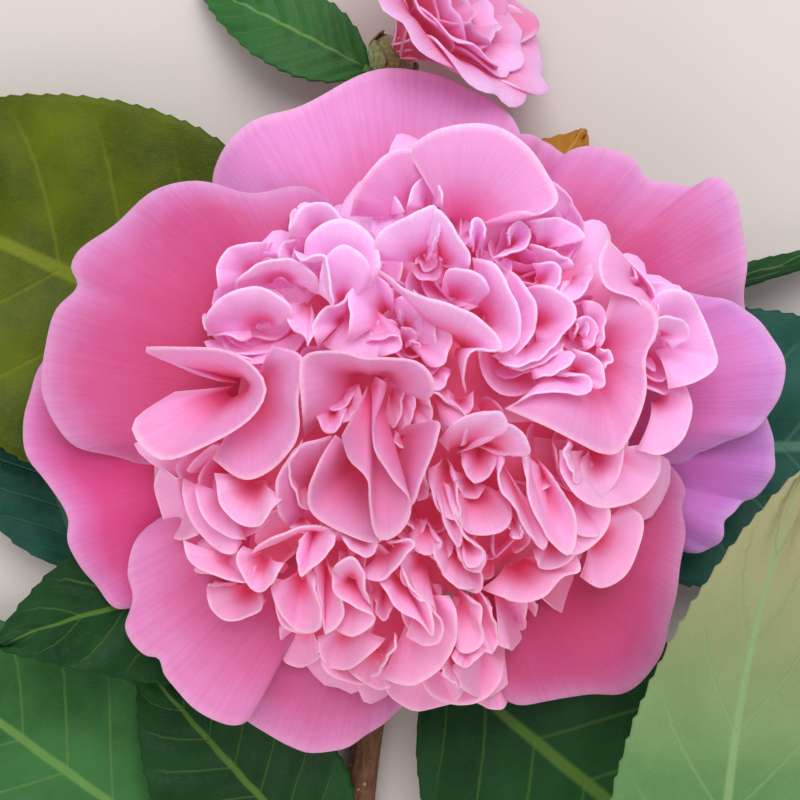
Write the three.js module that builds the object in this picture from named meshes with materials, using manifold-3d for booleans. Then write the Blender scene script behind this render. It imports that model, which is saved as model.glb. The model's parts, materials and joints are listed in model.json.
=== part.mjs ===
// A cut flowering branch of a pink camellia, lying on a level surface with its large peony-form bloom
// facing up: woody twig and side shoots, leaves, bud scales, guard petals, and the domed heart of petaloids.
// Millimetres, +Z up. The bloom's own frame has its foot at the origin and its face towards +Z.

import * as THREE from "three";
import { mergeVertices } from "three/addons/utils/BufferGeometryUtils.js";
import Module from "manifold-3d";

// ---------- Driving dimensions ----------

const GAP = 0.3; // between pieces that touch

const BLOOM_FOOT_HEIGHT = 9; // the bloom's foot above the surface that the branch lies on
const BLOOM_TILT = 2; // degrees that the bloom leans towards its lower right

const CALYX = { height: 8, footRadius: 2.4, rimRadius: 7.2, scales: 5 };

const PETAL_THICKNESS = 0.8;
const PETALOID_THICKNESS = 0.9;

// Guard petals lie in two tiers. Each spine leaves the foot, rises over the shoulder, and droops to the tip.
const GUARD_FOOT_RADIUS = 5;
const TIERS = {
  upper: { foot: 12.5, shoulder: 18.5, tip: 17 },
  lower: { foot: 10, shoulder: 13.5, tip: 12 },
};
// azimuth in degrees, reach from the bloom's axis and width in mm
const GUARD_PETALS = [
  { name: "top", azimuth: 98, reach: 51, width: 47, tier: "lower", waves: 3, phase: 0.4 },
  { name: "upper_left", azimuth: 163, reach: 53, width: 48, tier: "upper", waves: 4, phase: 2.1 },
  { name: "lower_left", azimuth: 197, reach: 57, width: 44, tier: "lower", waves: 3, phase: 1.2 },
  { name: "bottom_left", azimuth: 228, reach: 49, width: 40, tier: "upper", waves: 3, phase: 4.0 },
  { name: "bottom", azimuth: 257, reach: 48, width: 38, tier: "lower", waves: 2, phase: 0.8 },
  { name: "bottom_right", azimuth: 318, reach: 51, width: 50, tier: "upper", waves: 3, phase: 3.1 },
  { name: "lower_right", azimuth: 348, reach: 54, width: 34, tier: "lower", waves: 4, phase: 5.2 },
  { name: "right", azimuth: 12, reach: 54, width: 42, tier: "upper", waves: 3, phase: 0.2 },
  { name: "upper_right", azimuth: 39, reach: 53, width: 42, tier: "lower", waves: 4, phase: 2.6 },
  { name: "behind_upper_right", azimuth: 67, reach: 45, width: 24, tier: "lower", waves: 3, phase: 1.0 },
];

// The heart is a dome of petaloids round several nests. They all grow from one point over the calyx.
const HEART_ROOT = 13;
const DOME = { radius: 36, height: 31 }; // from the root to the nests' middles
const HEART_CORE = [
  [0, 8.3],
  [5.5, 8.3],
  [9, 14.5],
  [25, 20.5],
  [31, 25],
  [26, 35],
  [14, 42],
  [0, 44],
];
// Nests: azimuth in degrees and distance in mm from the bloom's axis, seen from the front; size is the radius
const NESTS = [
  { azimuth: 134, out: 26, size: 12, turn: 0.3 },
  { azimuth: 97, out: 11, size: 9, turn: 1.1 },
  { azimuth: 52, out: 19, size: 10, turn: 2.0 },
  { azimuth: 20, out: 26, size: 10, turn: 0.7 },
  { azimuth: 165, out: 11, size: 8, turn: 1.9 },
  { azimuth: 300, out: 20, size: 10, turn: 2.6 },
  { azimuth: 330, out: 9, size: 7, turn: 0.1 },
  { azimuth: 250, out: 23, size: 11, turn: 1.5 },
  { azimuth: 210, out: 29, size: 11, turn: 2.9 },
  { azimuth: 341, out: 29, size: 10, turn: 1.2 },
  { azimuth: 73, out: 31, size: 9, turn: 0.5 },
  { azimuth: 278, out: 32, size: 10, turn: 2.2 },
];
const NEST_PETALS = 4;

// The large petals that stand among the nests. tip: azimuth, distance from the axis, height over the foot.
// face: azimuth and elevation of the way the inner side looks. curl bends the tip away from it, in degrees.
const LARGE_PETALS = [
  { tip: [72, 38, 34], face: [250, 62], width: 27, curl: 55, cup: -0.01 },
  { tip: [176, 37, 36], face: [0, 62], width: 30, curl: 60, cup: 0.09 },
  { tip: [203, 26, 37], face: [30, 45], width: 23, curl: 55, cup: 0.02 },
  { tip: [118, 9, 49], face: [265, 15], width: 22, curl: 5, cup: 0.05 },
  { tip: [258, 17, 48], face: [150, 30], width: 12, curl: 45, cup: 0.08, twist: 40 },
  { tip: [295, 7, 50], face: [200, 10], width: 19, curl: 20, cup: 0.03 },
  { tip: [236, 18, 45], face: [60, 45], width: 19, curl: 50, cup: 0.03 },
  { tip: [351, 29, 39], face: [165, 60], width: 28, curl: 50, cup: 0.01 },
  { tip: [43, 35, 35], face: [230, 30], width: 20, curl: 20, cup: 0.06 },
  { tip: [12, 42, 29], face: [190, 45], width: 24, curl: 45, cup: 0.03 },
  { tip: [318, 30, 36], face: [140, 50], width: 18, curl: 50, cup: 0.02 },
  { tip: [66, 24, 46], face: [230, 25], width: 20, curl: 40, cup: 0.05 },
];

// Twigs: points that the middle line runs through, relative to the bloom's foot on the ground plan, and
// heights over the surface.
const TWIG = {
  points: [
    [-2, -158, 2.8],
    [-2, -138, 2.8],
    [-5, -112, 3.4],
    [-8, -80, 2.9],
    [-6.5, -50, 3],
    [-1, -26, 3],
    [1, -10, 3.2],
    [0, -0.6, 6.2],
    [0, 0, 8.2],
  ],
  radii: [2.8, 1.9],
};
const SHOOTS = [
  {
    name: "shoot_left",
    points: [
      [-5.5, -106, 4],
      [-24, -72, 4.6],
      [-41, -40, 3.4],
      [-58, -17, 3],
      [-67, -5, 3.2],
    ],
    radii: [1.7, 1.1],
  },
  {
    name: "shoot_right",
    points: [
      [-4, -120, 4],
      [14, -120, 4.8],
      [38, -116, 4.4],
      [62, -109.4, 5],
    ],
    radii: [1.8, 1.2],
  },
  {
    name: "shoot_top",
    points: [
      [0, -22, 4.4],
      [11, -10, 4.6],
      [14, 14, 3.6],
      [6, 36, 4],
      [-3, 50, 7.4],
    ],
    radii: [1.5, 1.3],
  },
];

const LEAF_THICKNESS = 0.95;
const PETIOLE_RADIUS = 1;
// Leaves: foot of the leaf stalk [x, y, z], azimuth in degrees, length and width of the blade, rise of the
// spine at its first third, tip's height over the blade's lowest point, lift of that lowest point over the
// surface where the leaf lies on others, sideways bend in mm, and roll about the spine in degrees.
const LEAVES = [
  {
    name: "leaf_left", foot: [-1.5, -4, 4.8], azimuth: 148, length: 90, width: 56,
    rise: 4, tip: 3, lift: 6, bend: 13, roll: -5,
  },
  {
    name: "leaf_left_small", foot: [-1, -22, 4], azimuth: 178, length: 53, width: 28,
    rise: 5, tip: 3, lift: 8, bend: 14, roll: 6,
  },
  {
    name: "leaf_left_lower", foot: [-49, -28, 3.6], azimuth: 104, length: 38, width: 22,
    rise: 4, tip: 0, lift: 0, bend: 3, roll: -4,
  },
  {
    name: "leaf_left_tip", foot: [-67.5, -4, 3.4], azimuth: 124, length: 46, width: 23,
    rise: 4, tip: 0, lift: 0, bend: -3, roll: 5,
  },
  {
    name: "leaf_bottom_left", foot: [-8, -75, 4], azimuth: 128, length: 45, width: 28,
    rise: 4, tip: 0, lift: 5, bend: 3, roll: 5,
  },
  {
    name: "leaf_low_left", foot: [-25, -74, 4.6], azimuth: 147, length: 66, width: 35,
    rise: 1, tip: 0, lift: 0, bend: -4, roll: -4,
  },
  {
    name: "leaf_foot_left", foot: [-14, -92, 4], azimuth: 212, length: 58, width: 30,
    rise: 7, tip: 0, lift: 0, bend: -4, roll: 4,
  },
  {
    name: "leaf_right", foot: [2, -6, 4], azimuth: 2, length: 86, width: 42,
    rise: 6, tip: 0, lift: 0, bend: -2, roll: 4,
  },
  {
    name: "leaf_right_upper", foot: [13, 8, 4], azimuth: 17, length: 60, width: 9,
    rise: 6, tip: 4, lift: 0, bend: 2, roll: 68,
  },
  {
    name: "leaf_bottom", foot: [-3, -31, 4.2], azimuth: 318, length: 76, width: 50,
    rise: 8, tip: 4, lift: 0, bend: 5, roll: -4,
  },
  {
    name: "leaf_low_right", foot: [-7, -92, 4.2], azimuth: 354, length: 48, width: 27,
    rise: 6, tip: 3, lift: 6.5, bend: -4, roll: 5,
  },
  {
    name: "leaf_foot_right", foot: [58, -111, 4.6], azimuth: 338, length: 58, width: 30,
    rise: 7, tip: 0, lift: 0, bend: 3, roll: -4,
  },
  {
    name: "leaf_bronze", foot: [12.6, 21, 4], azimuth: 62, length: 24, width: 15,
    rise: 6, tip: 3, lift: 2, bend: -2, roll: 6,
  },
  {
    name: "leaf_top", foot: [-2.8, 50.6, 6.6], azimuth: 152, length: 30, width: 13,
    rise: 3, tip: 3, lift: 1, bend: 0, roll: -8,
  },
];
// The leaf that arches up over the rim of the bloom, with its tip at its own height over the surface
const FRONT_LEAF = {
  name: "leaf_front",
  foot: [46, -113.8, 4.8],
  azimuth: 109,
  length: 88,
  width: 33,
  rise: 34,
  tip: 44,
  bend: -42,
  roll: 8,
};

const SMALL_BLOOM = { foot: [-4.4, 52.6, 9], scale: 0.5, azimuth: 35, elevation: 32 };

// ---------- Colours ----------

const finish = (color, roughness) =>
  new THREE.MeshStandardMaterial({ color, roughness, metalness: 0 });
const PETAL_PINK = finish(0xe46fae, 0.55);
const HEART_PINK = finish(0xf08cb0, 0.6);
const LEAF_GREEN = finish(0x2f5d22, 0.35);
const BRONZE = finish(0xa8641c, 0.5);
const SCALE_GREEN = finish(0x8a8f3c, 0.7);
const BARK = finish(0x8a5638, 0.8);

// ---------- Solids ----------

const wasm = await Module();
wasm.setup();

const radians = THREE.MathUtils.degToRad;
const vector = (values) => new THREE.Vector3(...values);

// A repeatable number from 0 to 1 for item i and use k.
function dealt(i, k) {
  const wave = Math.sin(i * 127.1 + k * 311.7) * 43758.5453;
  return wave - Math.floor(wave);
}

function solidOf(geometry) {
  const bare = geometry.clone();
  bare.deleteAttribute("normal");
  bare.deleteAttribute("uv");
  const merged = mergeVertices(bare, 1e-4);
  return new wasm.Manifold(
    new wasm.Mesh({
      numProp: 3,
      vertProperties: merged.attributes.position.array,
      triVerts: new Uint32Array(merged.index.array),
    }),
  );
}

// The solid inside a closed surface, whichever way its faces point.
function facingOut(geometry) {
  const solid = solidOf(geometry);
  if (solid.volume() > 0) return solid;
  const index = geometry.index.array;
  for (let i = 0; i < index.length; i += 3) [index[i + 1], index[i + 2]] = [index[i + 2], index[i + 1]];
  return solidOf(geometry);
}

function geometryOf(solid) {
  const mesh = solid.getMesh();
  return new THREE.BufferGeometry()
    .setAttribute("position", new THREE.BufferAttribute(mesh.vertProperties, 3))
    .setIndex(new THREE.BufferAttribute(mesh.triVerts, 1));
}

const fused = (solids) => solids.reduce((sum, solid) => sum.add(solid));

// The largest of the shells that a join or cut leaves, so that no loose scrap or sealed hollow stays.
function largest(solid) {
  return solid.decompose().sort((a, b) => b.volume() - a.volume())[0];
}

// ---------- Blades: petals, scales and leaves ----------

// How wide a petal is along its length: a narrow claw that broadens to the shoulder.
const petalWidth = (claw, shoulder) => (s) => {
  const t = Math.min(1, s / shoulder);
  return claw + (1 - claw) * t * t * (3 - 2 * t);
};

// A pointed ellipse with a drawn-out tip.
const leafWidth = (s) => Math.sin(Math.PI * Math.pow(s, 0.85)) ** 0.85 * (1 - 0.25 * s) * 1.1 + 0.02;

// A thin closed blade. Its length follows the spine and its width an arc across it, cup in 1/mm, with the
// inner side towards face. round is the share of the length that the rounded end takes, fold the slope of
// a crease along the middle, twist the turn at the tip in degrees, and ruffle the height of the rim's waves.
function blade({
  spine,
  face,
  width,
  thickness,
  widthAt,
  round = 0,
  cup = 0,
  fold = 0,
  twist = 0,
  ruffle = 0,
  waves = 3,
  phase = 0,
  steps,
}) {
  const [along, across] = steps;
  const geometry = new THREE.BoxGeometry(2, 1, 1, across, along, 1);
  const position = geometry.attributes.position;
  const tangent = new THREE.Vector3();
  for (let i = 0; i < position.count; i++) {
    const turn = (Math.PI / 2) * position.getX(i);
    const v = Math.sin(turn);
    const s = (position.getY(i) + 0.5) * (1 - round + round * Math.cos(turn));
    spine.getTangent(s, tangent);
    const normal = face.clone().addScaledVector(tangent, -face.dot(tangent)).normalize();
    normal.applyAxisAngle(tangent, radians(twist) * s);
    const side = new THREE.Vector3().crossVectors(normal, tangent);
    const reach = (v * width * widthAt(s)) / 2;
    const bend = cup * reach;
    const sideways = Math.abs(bend) < 1e-4 ? reach : Math.sin(bend) / cup;
    const arc = Math.abs(bend) < 1e-4 ? 0 : (1 - Math.cos(bend)) / cup;
    const rim = Math.max(v * v, s ** 3) * Math.min(1, 2 * s);
    const around = Math.atan2(v, 1.4 * (s - 0.4));
    const swing = Math.sin(waves * around + phase) + 0.4 * Math.sin(2.3 * waves * around + 1.7 * phase);
    const wave = ruffle * rim * swing;
    const crease = fold * (Math.hypot(reach, 1) - 1);
    const outward = normal
      .clone()
      .multiplyScalar(Math.cos(bend))
      .addScaledVector(side, -Math.sin(bend));
    const point = spine
      .getPoint(s)
      .addScaledVector(side, sideways)
      .addScaledVector(normal, arc + wave + crease)
      .addScaledVector(outward, position.getZ(i) * thickness);
    position.setXYZ(i, point.x, point.y, point.z);
  }
  return geometry;
}

// A round limb along a curve, tapering from its first point to its last, with flat ends. The first end is
// cut square to the line to the second point.
function limb(points, [firstRadius, lastRadius], sides, steps) {
  const curve = new THREE.CatmullRomCurve3(points);
  const start = points[1].clone().sub(points[0]).normalize();
  const geometry = new THREE.CylinderGeometry(1, 1, 1, sides, steps);
  const position = geometry.attributes.position;
  const side = new THREE.Vector3();
  for (let i = 0; i < position.count; i++) {
    const s = position.getY(i) + 0.5;
    const radius = THREE.MathUtils.lerp(firstRadius, lastRadius, s);
    const tangent = s === 0 ? start : curve.getTangent(s);
    side.set(tangent.y, -tangent.x, 0).normalize();
    const up = new THREE.Vector3().crossVectors(side, tangent);
    const point = curve
      .getPoint(s)
      .addScaledVector(side, position.getX(i) * radius)
      .addScaledVector(up, position.getZ(i) * radius);
    position.setXYZ(i, point.x, point.y, point.z);
  }
  return facingOut(geometry);
}

// A solid turned about the Z axis from a profile of [radius, height] rows that starts and ends on the axis.
function turned(profile, sides) {
  const outline = profile.map(([radius, height]) => new THREE.Vector2(radius, height));
  return solidOf(new THREE.LatheGeometry(outline, sides).rotateX(Math.PI / 2));
}

const bladeSolid = (options) => facingOut(blade(options));

// ---------- The bloom ----------

const polar = (azimuth, out, height) =>
  new THREE.Vector3(out * Math.cos(radians(azimuth)), out * Math.sin(radians(azimuth)), height);
const looking = (azimuth, elevation) =>
  polar(azimuth, Math.cos(radians(elevation)), Math.sin(radians(elevation)));

// A guard petal, or with extra the room it needs: extra mm more all round.
function guardPetal({ azimuth, reach, width, tier, waves, phase }, extra = 0) {
  const { foot, shoulder, tip } = TIERS[tier];
  return bladeSolid({
    spine: new THREE.CubicBezierCurve3(
      polar(azimuth, GUARD_FOOT_RADIUS, foot),
      polar(azimuth, 0.4 * reach, shoulder),
      polar(azimuth, 0.75 * reach, shoulder + 1),
      polar(azimuth, reach + extra, tip),
    ),
    face: new THREE.Vector3(0, 0, 1),
    width: width + 2 * extra,
    thickness: PETAL_THICKNESS + 2 * extra,
    widthAt: petalWidth(0.2, 0.6),
    round: 0.42,
    cup: 0.004,
    ruffle: 1.1,
    waves,
    phase,
    steps: [6, 6],
  });
}

// A petal of the heart, from the root to its tip.
function heartPetal(petal, steps, extra) {
  const { tip, face, width, curl, cup, ruffle = 1, waves = 3, phase = 0, twist = 0 } = petal;
  const root = new THREE.Vector3(0, 0, HEART_ROOT);
  const rise = tip.clone().sub(root);
  const length = rise.length();
  rise.normalize();
  const away = face.clone().addScaledVector(rise, -face.dot(rise)).normalize().negate();
  const last = rise
    .clone()
    .multiplyScalar(Math.cos(radians(curl)))
    .addScaledVector(away, Math.sin(radians(curl)));
  const first = rise.clone().addScaledVector(away, -0.35 * Math.sin(radians(curl))).normalize();
  return bladeSolid({
    spine: new THREE.CubicBezierCurve3(
      root,
      root.clone().addScaledVector(first, 0.4 * length),
      tip.clone().addScaledVector(last, -0.35 * length),
      tip,
    ),
    face,
    width,
    thickness: PETALOID_THICKNESS + 2 * extra,
    widthAt: petalWidth(0.3, 0.75),
    round: 0.3,
    cup,
    ruffle,
    waves,
    phase,
    twist,
    steps,
  });
}

// The outer ring of petaloids round one nest, each looking towards its middle.
function nestPetals({ azimuth, out, size, turn }, number, extra) {
  const root = new THREE.Vector3(0, 0, HEART_ROOT);
  const height = DOME.height * Math.sqrt(Math.max(0, 1 - (out / DOME.radius) ** 2));
  const middle = polar(azimuth, out, HEART_ROOT + height);
  const axis = middle.clone().sub(root).normalize();
  const first = new THREE.Vector3(0, 0, 1).cross(axis).normalize();
  const second = axis.clone().cross(first);
  return Array.from({ length: NEST_PETALS }, (_, i) => {
    const item = number * NEST_PETALS + i;
    const angle = turn + (2 * Math.PI * i) / NEST_PETALS;
    const spoke = first.clone().multiplyScalar(Math.cos(angle)).addScaledVector(second, Math.sin(angle));
    return heartPetal(
      {
        tip: middle.clone().addScaledVector(spoke, size * 0.7).addScaledVector(axis, 2 * dealt(item, 1) - 1),
        face: spoke.clone().negate().addScaledVector(axis, 0.5).normalize(),
        width: size * (0.9 + 0.25 * dealt(item, 2)),
        curl: 20 + 15 * dealt(item, 3),
        cup: 0.05,
        phase: 6 * dealt(item, 4),
      },
      [3, 2],
      extra,
    );
  });
}

function largePetal({ tip, face, ...shape }, number, extra) {
  const petal = { ...shape, tip: polar(...tip), face: looking(...face), phase: 6 * dealt(number, 5) };
  return heartPetal(petal, [3, 4], extra);
}

function heart(extra = 0) {
  return fused([
    turned(HEART_CORE, 20),
    ...NESTS.flatMap((nest, i) => nestPetals(nest, i, extra)),
    ...LARGE_PETALS.map((petal, i) => largePetal(petal, i, extra)),
  ]);
}

// The bud scales that hold the petals: a solid cup with overlapping rounded scales fused on.
function calyx() {
  const { height, footRadius, rimRadius, scales } = CALYX;
  const cup = turned(
    [
      [0, 0],
      [footRadius, 0],
      [0.75 * rimRadius, 0.3 * height],
      [rimRadius, 0.7 * height],
      [0.9 * rimRadius, height - GAP],
      [0, height - GAP],
    ],
    12,
  );
  const made = Array.from({ length: scales }, (_, i) => {
    const azimuth = (360 / scales) * i;
    const swell = 1 + 0.1 * (i % 2);
    return bladeSolid({
      spine: new THREE.CubicBezierCurve3(
        polar(azimuth, footRadius * 0.6, 0.4),
        polar(azimuth, rimRadius * 0.9 * swell, 0.8),
        polar(azimuth, rimRadius * 1.12 * swell, 0.6 * height),
        polar(azimuth, rimRadius * swell, height * 0.98),
      ),
      face: polar(azimuth + 180, 1, 0.4).normalize(),
      width: 8.5,
      thickness: 0.8,
      widthAt: petalWidth(0.35, 0.55),
      round: 0.4,
      cup: 0.11,
      steps: [3, 2],
    });
  });
  return fused([cup, ...made]);
}

// The smaller half-open bloom: its guard petals stand up round a few large petals.
function smallBloom() {
  const petals = Array.from({ length: 9 }, (_, i) => {
    const outer = i < 5;
    const azimuth = i * (outer ? 72 : 90);
    const out = outer ? 40 : 20;
    return heartPetal(
      {
        tip: polar(azimuth, out, outer ? 32 + 5 * dealt(i, 6) : 42),
        face: looking(azimuth + 180, 40),
        width: outer ? 38 : 24,
        curl: outer ? 38 : 20,
        cup: outer ? 0.02 : 0.05,
        ruffle: 1.6,
        phase: 6 * dealt(i, 7),
      },
      [4, 3],
      0.4,
    );
  });
  const middle = new THREE.SphereGeometry(12, 10, 7).rotateX(Math.PI / 2).translate(0, 0, 20.3);
  return fused([solidOf(middle), ...petals]);
}

// ---------- Leaves ----------

// The stalk and the blade of a leaf, whose spine arches over its rise and comes down to the tip.
function leafPieces({ foot, azimuth, length, width, rise, tip, bend, roll }, drop) {
  const start = vector(foot);
  const stalk = 0.12 * length;
  const ahead = polar(azimuth, 1, 0);
  const left = polar(azimuth + 90, 1, 0);
  const at = (share, sideways, height) =>
    start
      .clone()
      .addScaledVector(ahead, share * (length + stalk))
      .addScaledVector(left, sideways * bend)
      .setZ(height - drop);
  const spine = new THREE.CubicBezierCurve3(
    start,
    at(0.33, 0.2, start.z + rise + drop),
    at(0.7, 0.4, start.z + rise),
    at(1, 1, tip),
  );
  const stalkShare = stalk / (length + stalk);
  const bladeSpine = new THREE.CatmullRomCurve3(
    Array.from({ length: 6 }, (_, i) => spine.getPoint(stalkShare + ((1 - stalkShare) * i) / 5)),
  );
  const stalkPoints = Array.from({ length: 4 }, (_, i) => spine.getPoint((stalkShare * 1.4 * i) / 3));
  return {
    stalk: limb(stalkPoints, [PETIOLE_RADIUS, 0.8 * PETIOLE_RADIUS], 6, 2),
    blade: bladeSolid({
      spine: bladeSpine,
      face: looking(azimuth + 90, 90 - roll),
      width,
      thickness: LEAF_THICKNESS,
      widthAt: leafWidth,
      fold: 0.1,
      ruffle: 0.5,
      waves: 4,
      phase: 6 * dealt(length, 8),
      steps: [7, 4],
    }),
  };
}

// A leaf that droops until its blade's lowest point is at its lift.
function leafSolid(leaf) {
  let drop = 0;
  let pieces = leafPieces(leaf, drop);
  for (let i = 0; i < 4 && leaf.lift !== undefined; i++) {
    drop += pieces.blade.boundingBox().min[2] - leaf.lift;
    pieces = leafPieces(leaf, drop);
  }
  return pieces.stalk.add(pieces.blade);
}

// ---------- Assembly ----------

const root = new THREE.Group();

function addMesh(group, name, solid, material) {
  const mesh = new THREE.Mesh(geometryOf(largest(solid)), material);
  mesh.name = name;
  group.add(mesh);
  return mesh;
}

const points = (rows) => rows.map(vector);

// The twig and the shoots that spring from it. Returns the room that they and a gap take up.
function addBranch() {
  const grown = (limbs) => limbs.map((radius) => radius + GAP);
  addMesh(root, "twig", limb(points(TWIG.points), TWIG.radii, 10, 18), BARK);
  let taken = limb(points(TWIG.points), grown(TWIG.radii), 10, 18);
  for (const { name, points: rows, radii } of SHOOTS) {
    addMesh(root, name, limb(points(rows), radii, 8, 8).subtract(taken), BARK);
    taken = taken.add(limb(points(rows), grown(radii), 8, 8));
  }
  return taken;
}

function addLeaves(taken) {
  for (const leaf of [...LEAVES, FRONT_LEAF]) {
    const solid = leafSolid(leaf).subtract(taken);
    addMesh(root, leaf.name, solid, leaf.name === "leaf_bronze" ? BRONZE : LEAF_GREEN);
  }
}

function addBloom() {
  const bloom = new THREE.Group();
  bloom.position.z = BLOOM_FOOT_HEIGHT;
  const lean = looking(315 + 90, 0);
  bloom.quaternion.setFromAxisAngle(lean, radians(BLOOM_TILT));
  root.add(bloom);
  addMesh(bloom, "calyx", calyx(), SCALE_GREEN);
  addMesh(bloom, "heart", heart(), HEART_PINK);
  let keepOut = heart(2 * GAP).add(calyx());
  const inOrder = [...GUARD_PETALS].sort((a, b) => TIERS[b.tier].foot - TIERS[a.tier].foot);
  for (const petal of inOrder) {
    const solid = guardPetal(petal).subtract(keepOut);
    addMesh(bloom, "guard_petal_" + petal.name, solid, PETAL_PINK);
    keepOut = keepOut.add(guardPetal(petal, 1.5 * GAP));
  }
}

function addSmallBloom() {
  const bloom = new THREE.Group();
  bloom.position.copy(vector(SMALL_BLOOM.foot));
  bloom.quaternion.setFromUnitVectors(
    new THREE.Vector3(0, 0, 1),
    looking(SMALL_BLOOM.azimuth, SMALL_BLOOM.elevation),
  );
  bloom.scale.setScalar(SMALL_BLOOM.scale);
  root.add(bloom);
  addMesh(bloom, "small_calyx", calyx(), SCALE_GREEN);
  addMesh(bloom, "small_bloom", smallBloom(), PETAL_PINK);
}

addLeaves(addBranch());
addBloom();
addSmallBloom();

// The part's origin is the middle of its box, at the surface that it lies on.
const box = new THREE.Box3().setFromObject(root, true);
const middle = box.getCenter(new THREE.Vector3());
root.position.set(-middle.x, -middle.y, -box.min.z);

export default root;
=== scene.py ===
"""A cut flowering camellia branch, lying on a pale floor with its large pink bloom facing up.

Lengths are in millimetres until a mesh is made, and angles in degrees. The bloom's own frame has its foot
at the origin and its face towards +Z. The rims of its traced petals are places picked on the photo, in
pixels from its top left corner, which picked and picked_on_heart turn into points of that frame.
"""

import json
import math

import bpy
import numpy as np
from mathutils import Matrix, Vector


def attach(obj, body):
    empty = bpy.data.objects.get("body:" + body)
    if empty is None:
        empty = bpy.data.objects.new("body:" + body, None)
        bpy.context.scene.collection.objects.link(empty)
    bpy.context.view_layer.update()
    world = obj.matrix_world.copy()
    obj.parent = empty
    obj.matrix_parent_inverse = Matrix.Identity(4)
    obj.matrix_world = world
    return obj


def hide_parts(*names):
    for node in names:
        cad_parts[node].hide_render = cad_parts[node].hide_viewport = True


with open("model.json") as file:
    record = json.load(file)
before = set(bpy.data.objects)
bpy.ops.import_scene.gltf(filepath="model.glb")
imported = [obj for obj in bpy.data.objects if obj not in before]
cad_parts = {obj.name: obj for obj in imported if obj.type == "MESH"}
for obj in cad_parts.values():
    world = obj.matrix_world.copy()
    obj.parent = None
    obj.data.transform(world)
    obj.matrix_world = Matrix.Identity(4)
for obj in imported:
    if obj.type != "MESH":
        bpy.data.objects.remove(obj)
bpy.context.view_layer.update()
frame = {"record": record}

MM = 0.001
UP = np.array([0.0, 0.0, 1.0])
dice = np.random.default_rng(17)

# ---------- Driving dimensions, as in the part's source, and the traced outlines ----------

BLOOM_FOOT_HEIGHT = 9
BLOOM_TILT, BLOOM_TILT_AZIMUTH = 2, 45
CALYX_HEIGHT, CALYX_FOOT, CALYX_RIM = 8, 2.4, 7.2

GUARD_THICKNESS = 0.5
GUARD_DROOP = 4.5
GUARD_FOOT_RADIUS = 5
# heights of the foot, the shoulder and the rim over the bloom's foot
TIERS = {"upper": (12.5, 18.5, 17), "lower": (10, 13.5, 12), "under": (9, 11, 9.5)}
# name: azimuth of the foot, tier, paleness, height of the rim's waves, pixels x, y that the rim runs through.
# The paleness is painted light and shade: paler for the petals that the light from the top falls on, darker
# for those in shade.
GUARD_PETALS = {
    "top": (98, "lower", 0.9, 0.8, [(228, 215), (207, 187), (217, 158), (250, 124), (293, 111), (319, 96),
        (362, 74), (400, 66), (440, 72), (477, 93), (513, 118), (524, 150)]),
    "upper_left": (163, "upper", 0.2, 1.1, [(335, 205), (303, 189), (247, 195), (190, 185), (153, 191),
        (110, 224), (78, 250), (71, 267), (75, 284), (56, 311), (44, 345), (47, 395), (70, 436), (100, 453),
        (140, 475)]),
    "lower_left": (197, "lower", 0.1, 1.2, [(60, 350), (32, 380), (19, 425), (25, 455), (58, 498),
        (71, 520), (72, 545), (88, 582), (118, 612), (150, 610)]),
    "bottom_left": (228, "upper", 0.65, 0.8, [(180, 510), (141, 541), (127, 573), (130, 597), (125, 626),
        (146, 656), (158, 657), (165, 676), (197, 708), (235, 724), (254, 716), (262, 660)]),
    "bottom": (257, "lower", 0.5, 0.8, [(225, 660), (240, 718), (275, 738), (305, 751), (335, 747),
        (365, 736), (392, 722), (412, 700), (415, 660)]),
    "bottom_right": (318, "upper", 0.05, 1.0, [(500, 660), (512, 699), (545, 703), (585, 700), (625, 694),
        (660, 660), (669, 622), (675, 569), (685, 530), (686, 507), (690, 490), (684, 472), (662, 450)]),
    "lower_right": (348, "lower", 0.35, 1.3, [(660, 560), (683, 550), (704, 551), (717, 540), (721, 518),
        (739, 509), (757, 503), (769, 485), (775, 457), (765, 428), (745, 405)]),
    "right": (12, "upper", 0.5, 1.0, [(690, 475), (724, 447), (763, 422), (780, 386), (781, 355),
        (765, 322), (739, 303), (701, 293), (656, 289)]),
    "upper_right": (39, "lower", 0.45, 0.6, [(760, 330), (747, 300), (746, 256), (740, 223), (734, 195),
        (715, 179), (691, 183), (668, 182), (648, 176), (630, 156), (602, 147), (578, 151), (556, 175)]),
    "behind_upper_right": (67, "under", 0.2, 0.8, [(600, 200), (585, 160), (560, 150), (545, 140),
        (525, 136), (505, 150)]),
}

TWIG = (
    [
        (-2, -158, 2.8),
        (-2, -138, 2.8),
        (-5, -112, 3.4),
        (-8, -80, 2.9),
        (-6.5, -50, 3),
        (-1, -26, 3),
        (1, -10, 3.2),
        (0, -0.6, 6.2),
        (0, 0, 8.2),
    ],
    (2.8, 1.9),
)
SHOOTS = {
    "shoot_left": (
        [(-5.5, -106, 4), (-24, -72, 4.6), (-41, -40, 3.4), (-58, -17, 3), (-67, -5, 3.2)],
        (1.7, 1.1),
    ),
    "shoot_right": ([(-4, -120, 4), (14, -120, 4.8), (38, -116, 4.4), (62, -109.4, 5)], (1.8, 1.2)),
    "shoot_top": ([(0, -22, 4.4), (11, -10, 4.6), (14, 14, 3.6), (6, 36, 4), (-3, 50, 7.4)], (1.5, 1.3)),
}
CUT_END_FROM_TWIG_START = (0.5, 0, 0.3)  # where the record's mount is, from the twig's first point

LEAF_THICKNESS = 0.6
PETIOLE_RADIUS = 1
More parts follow.
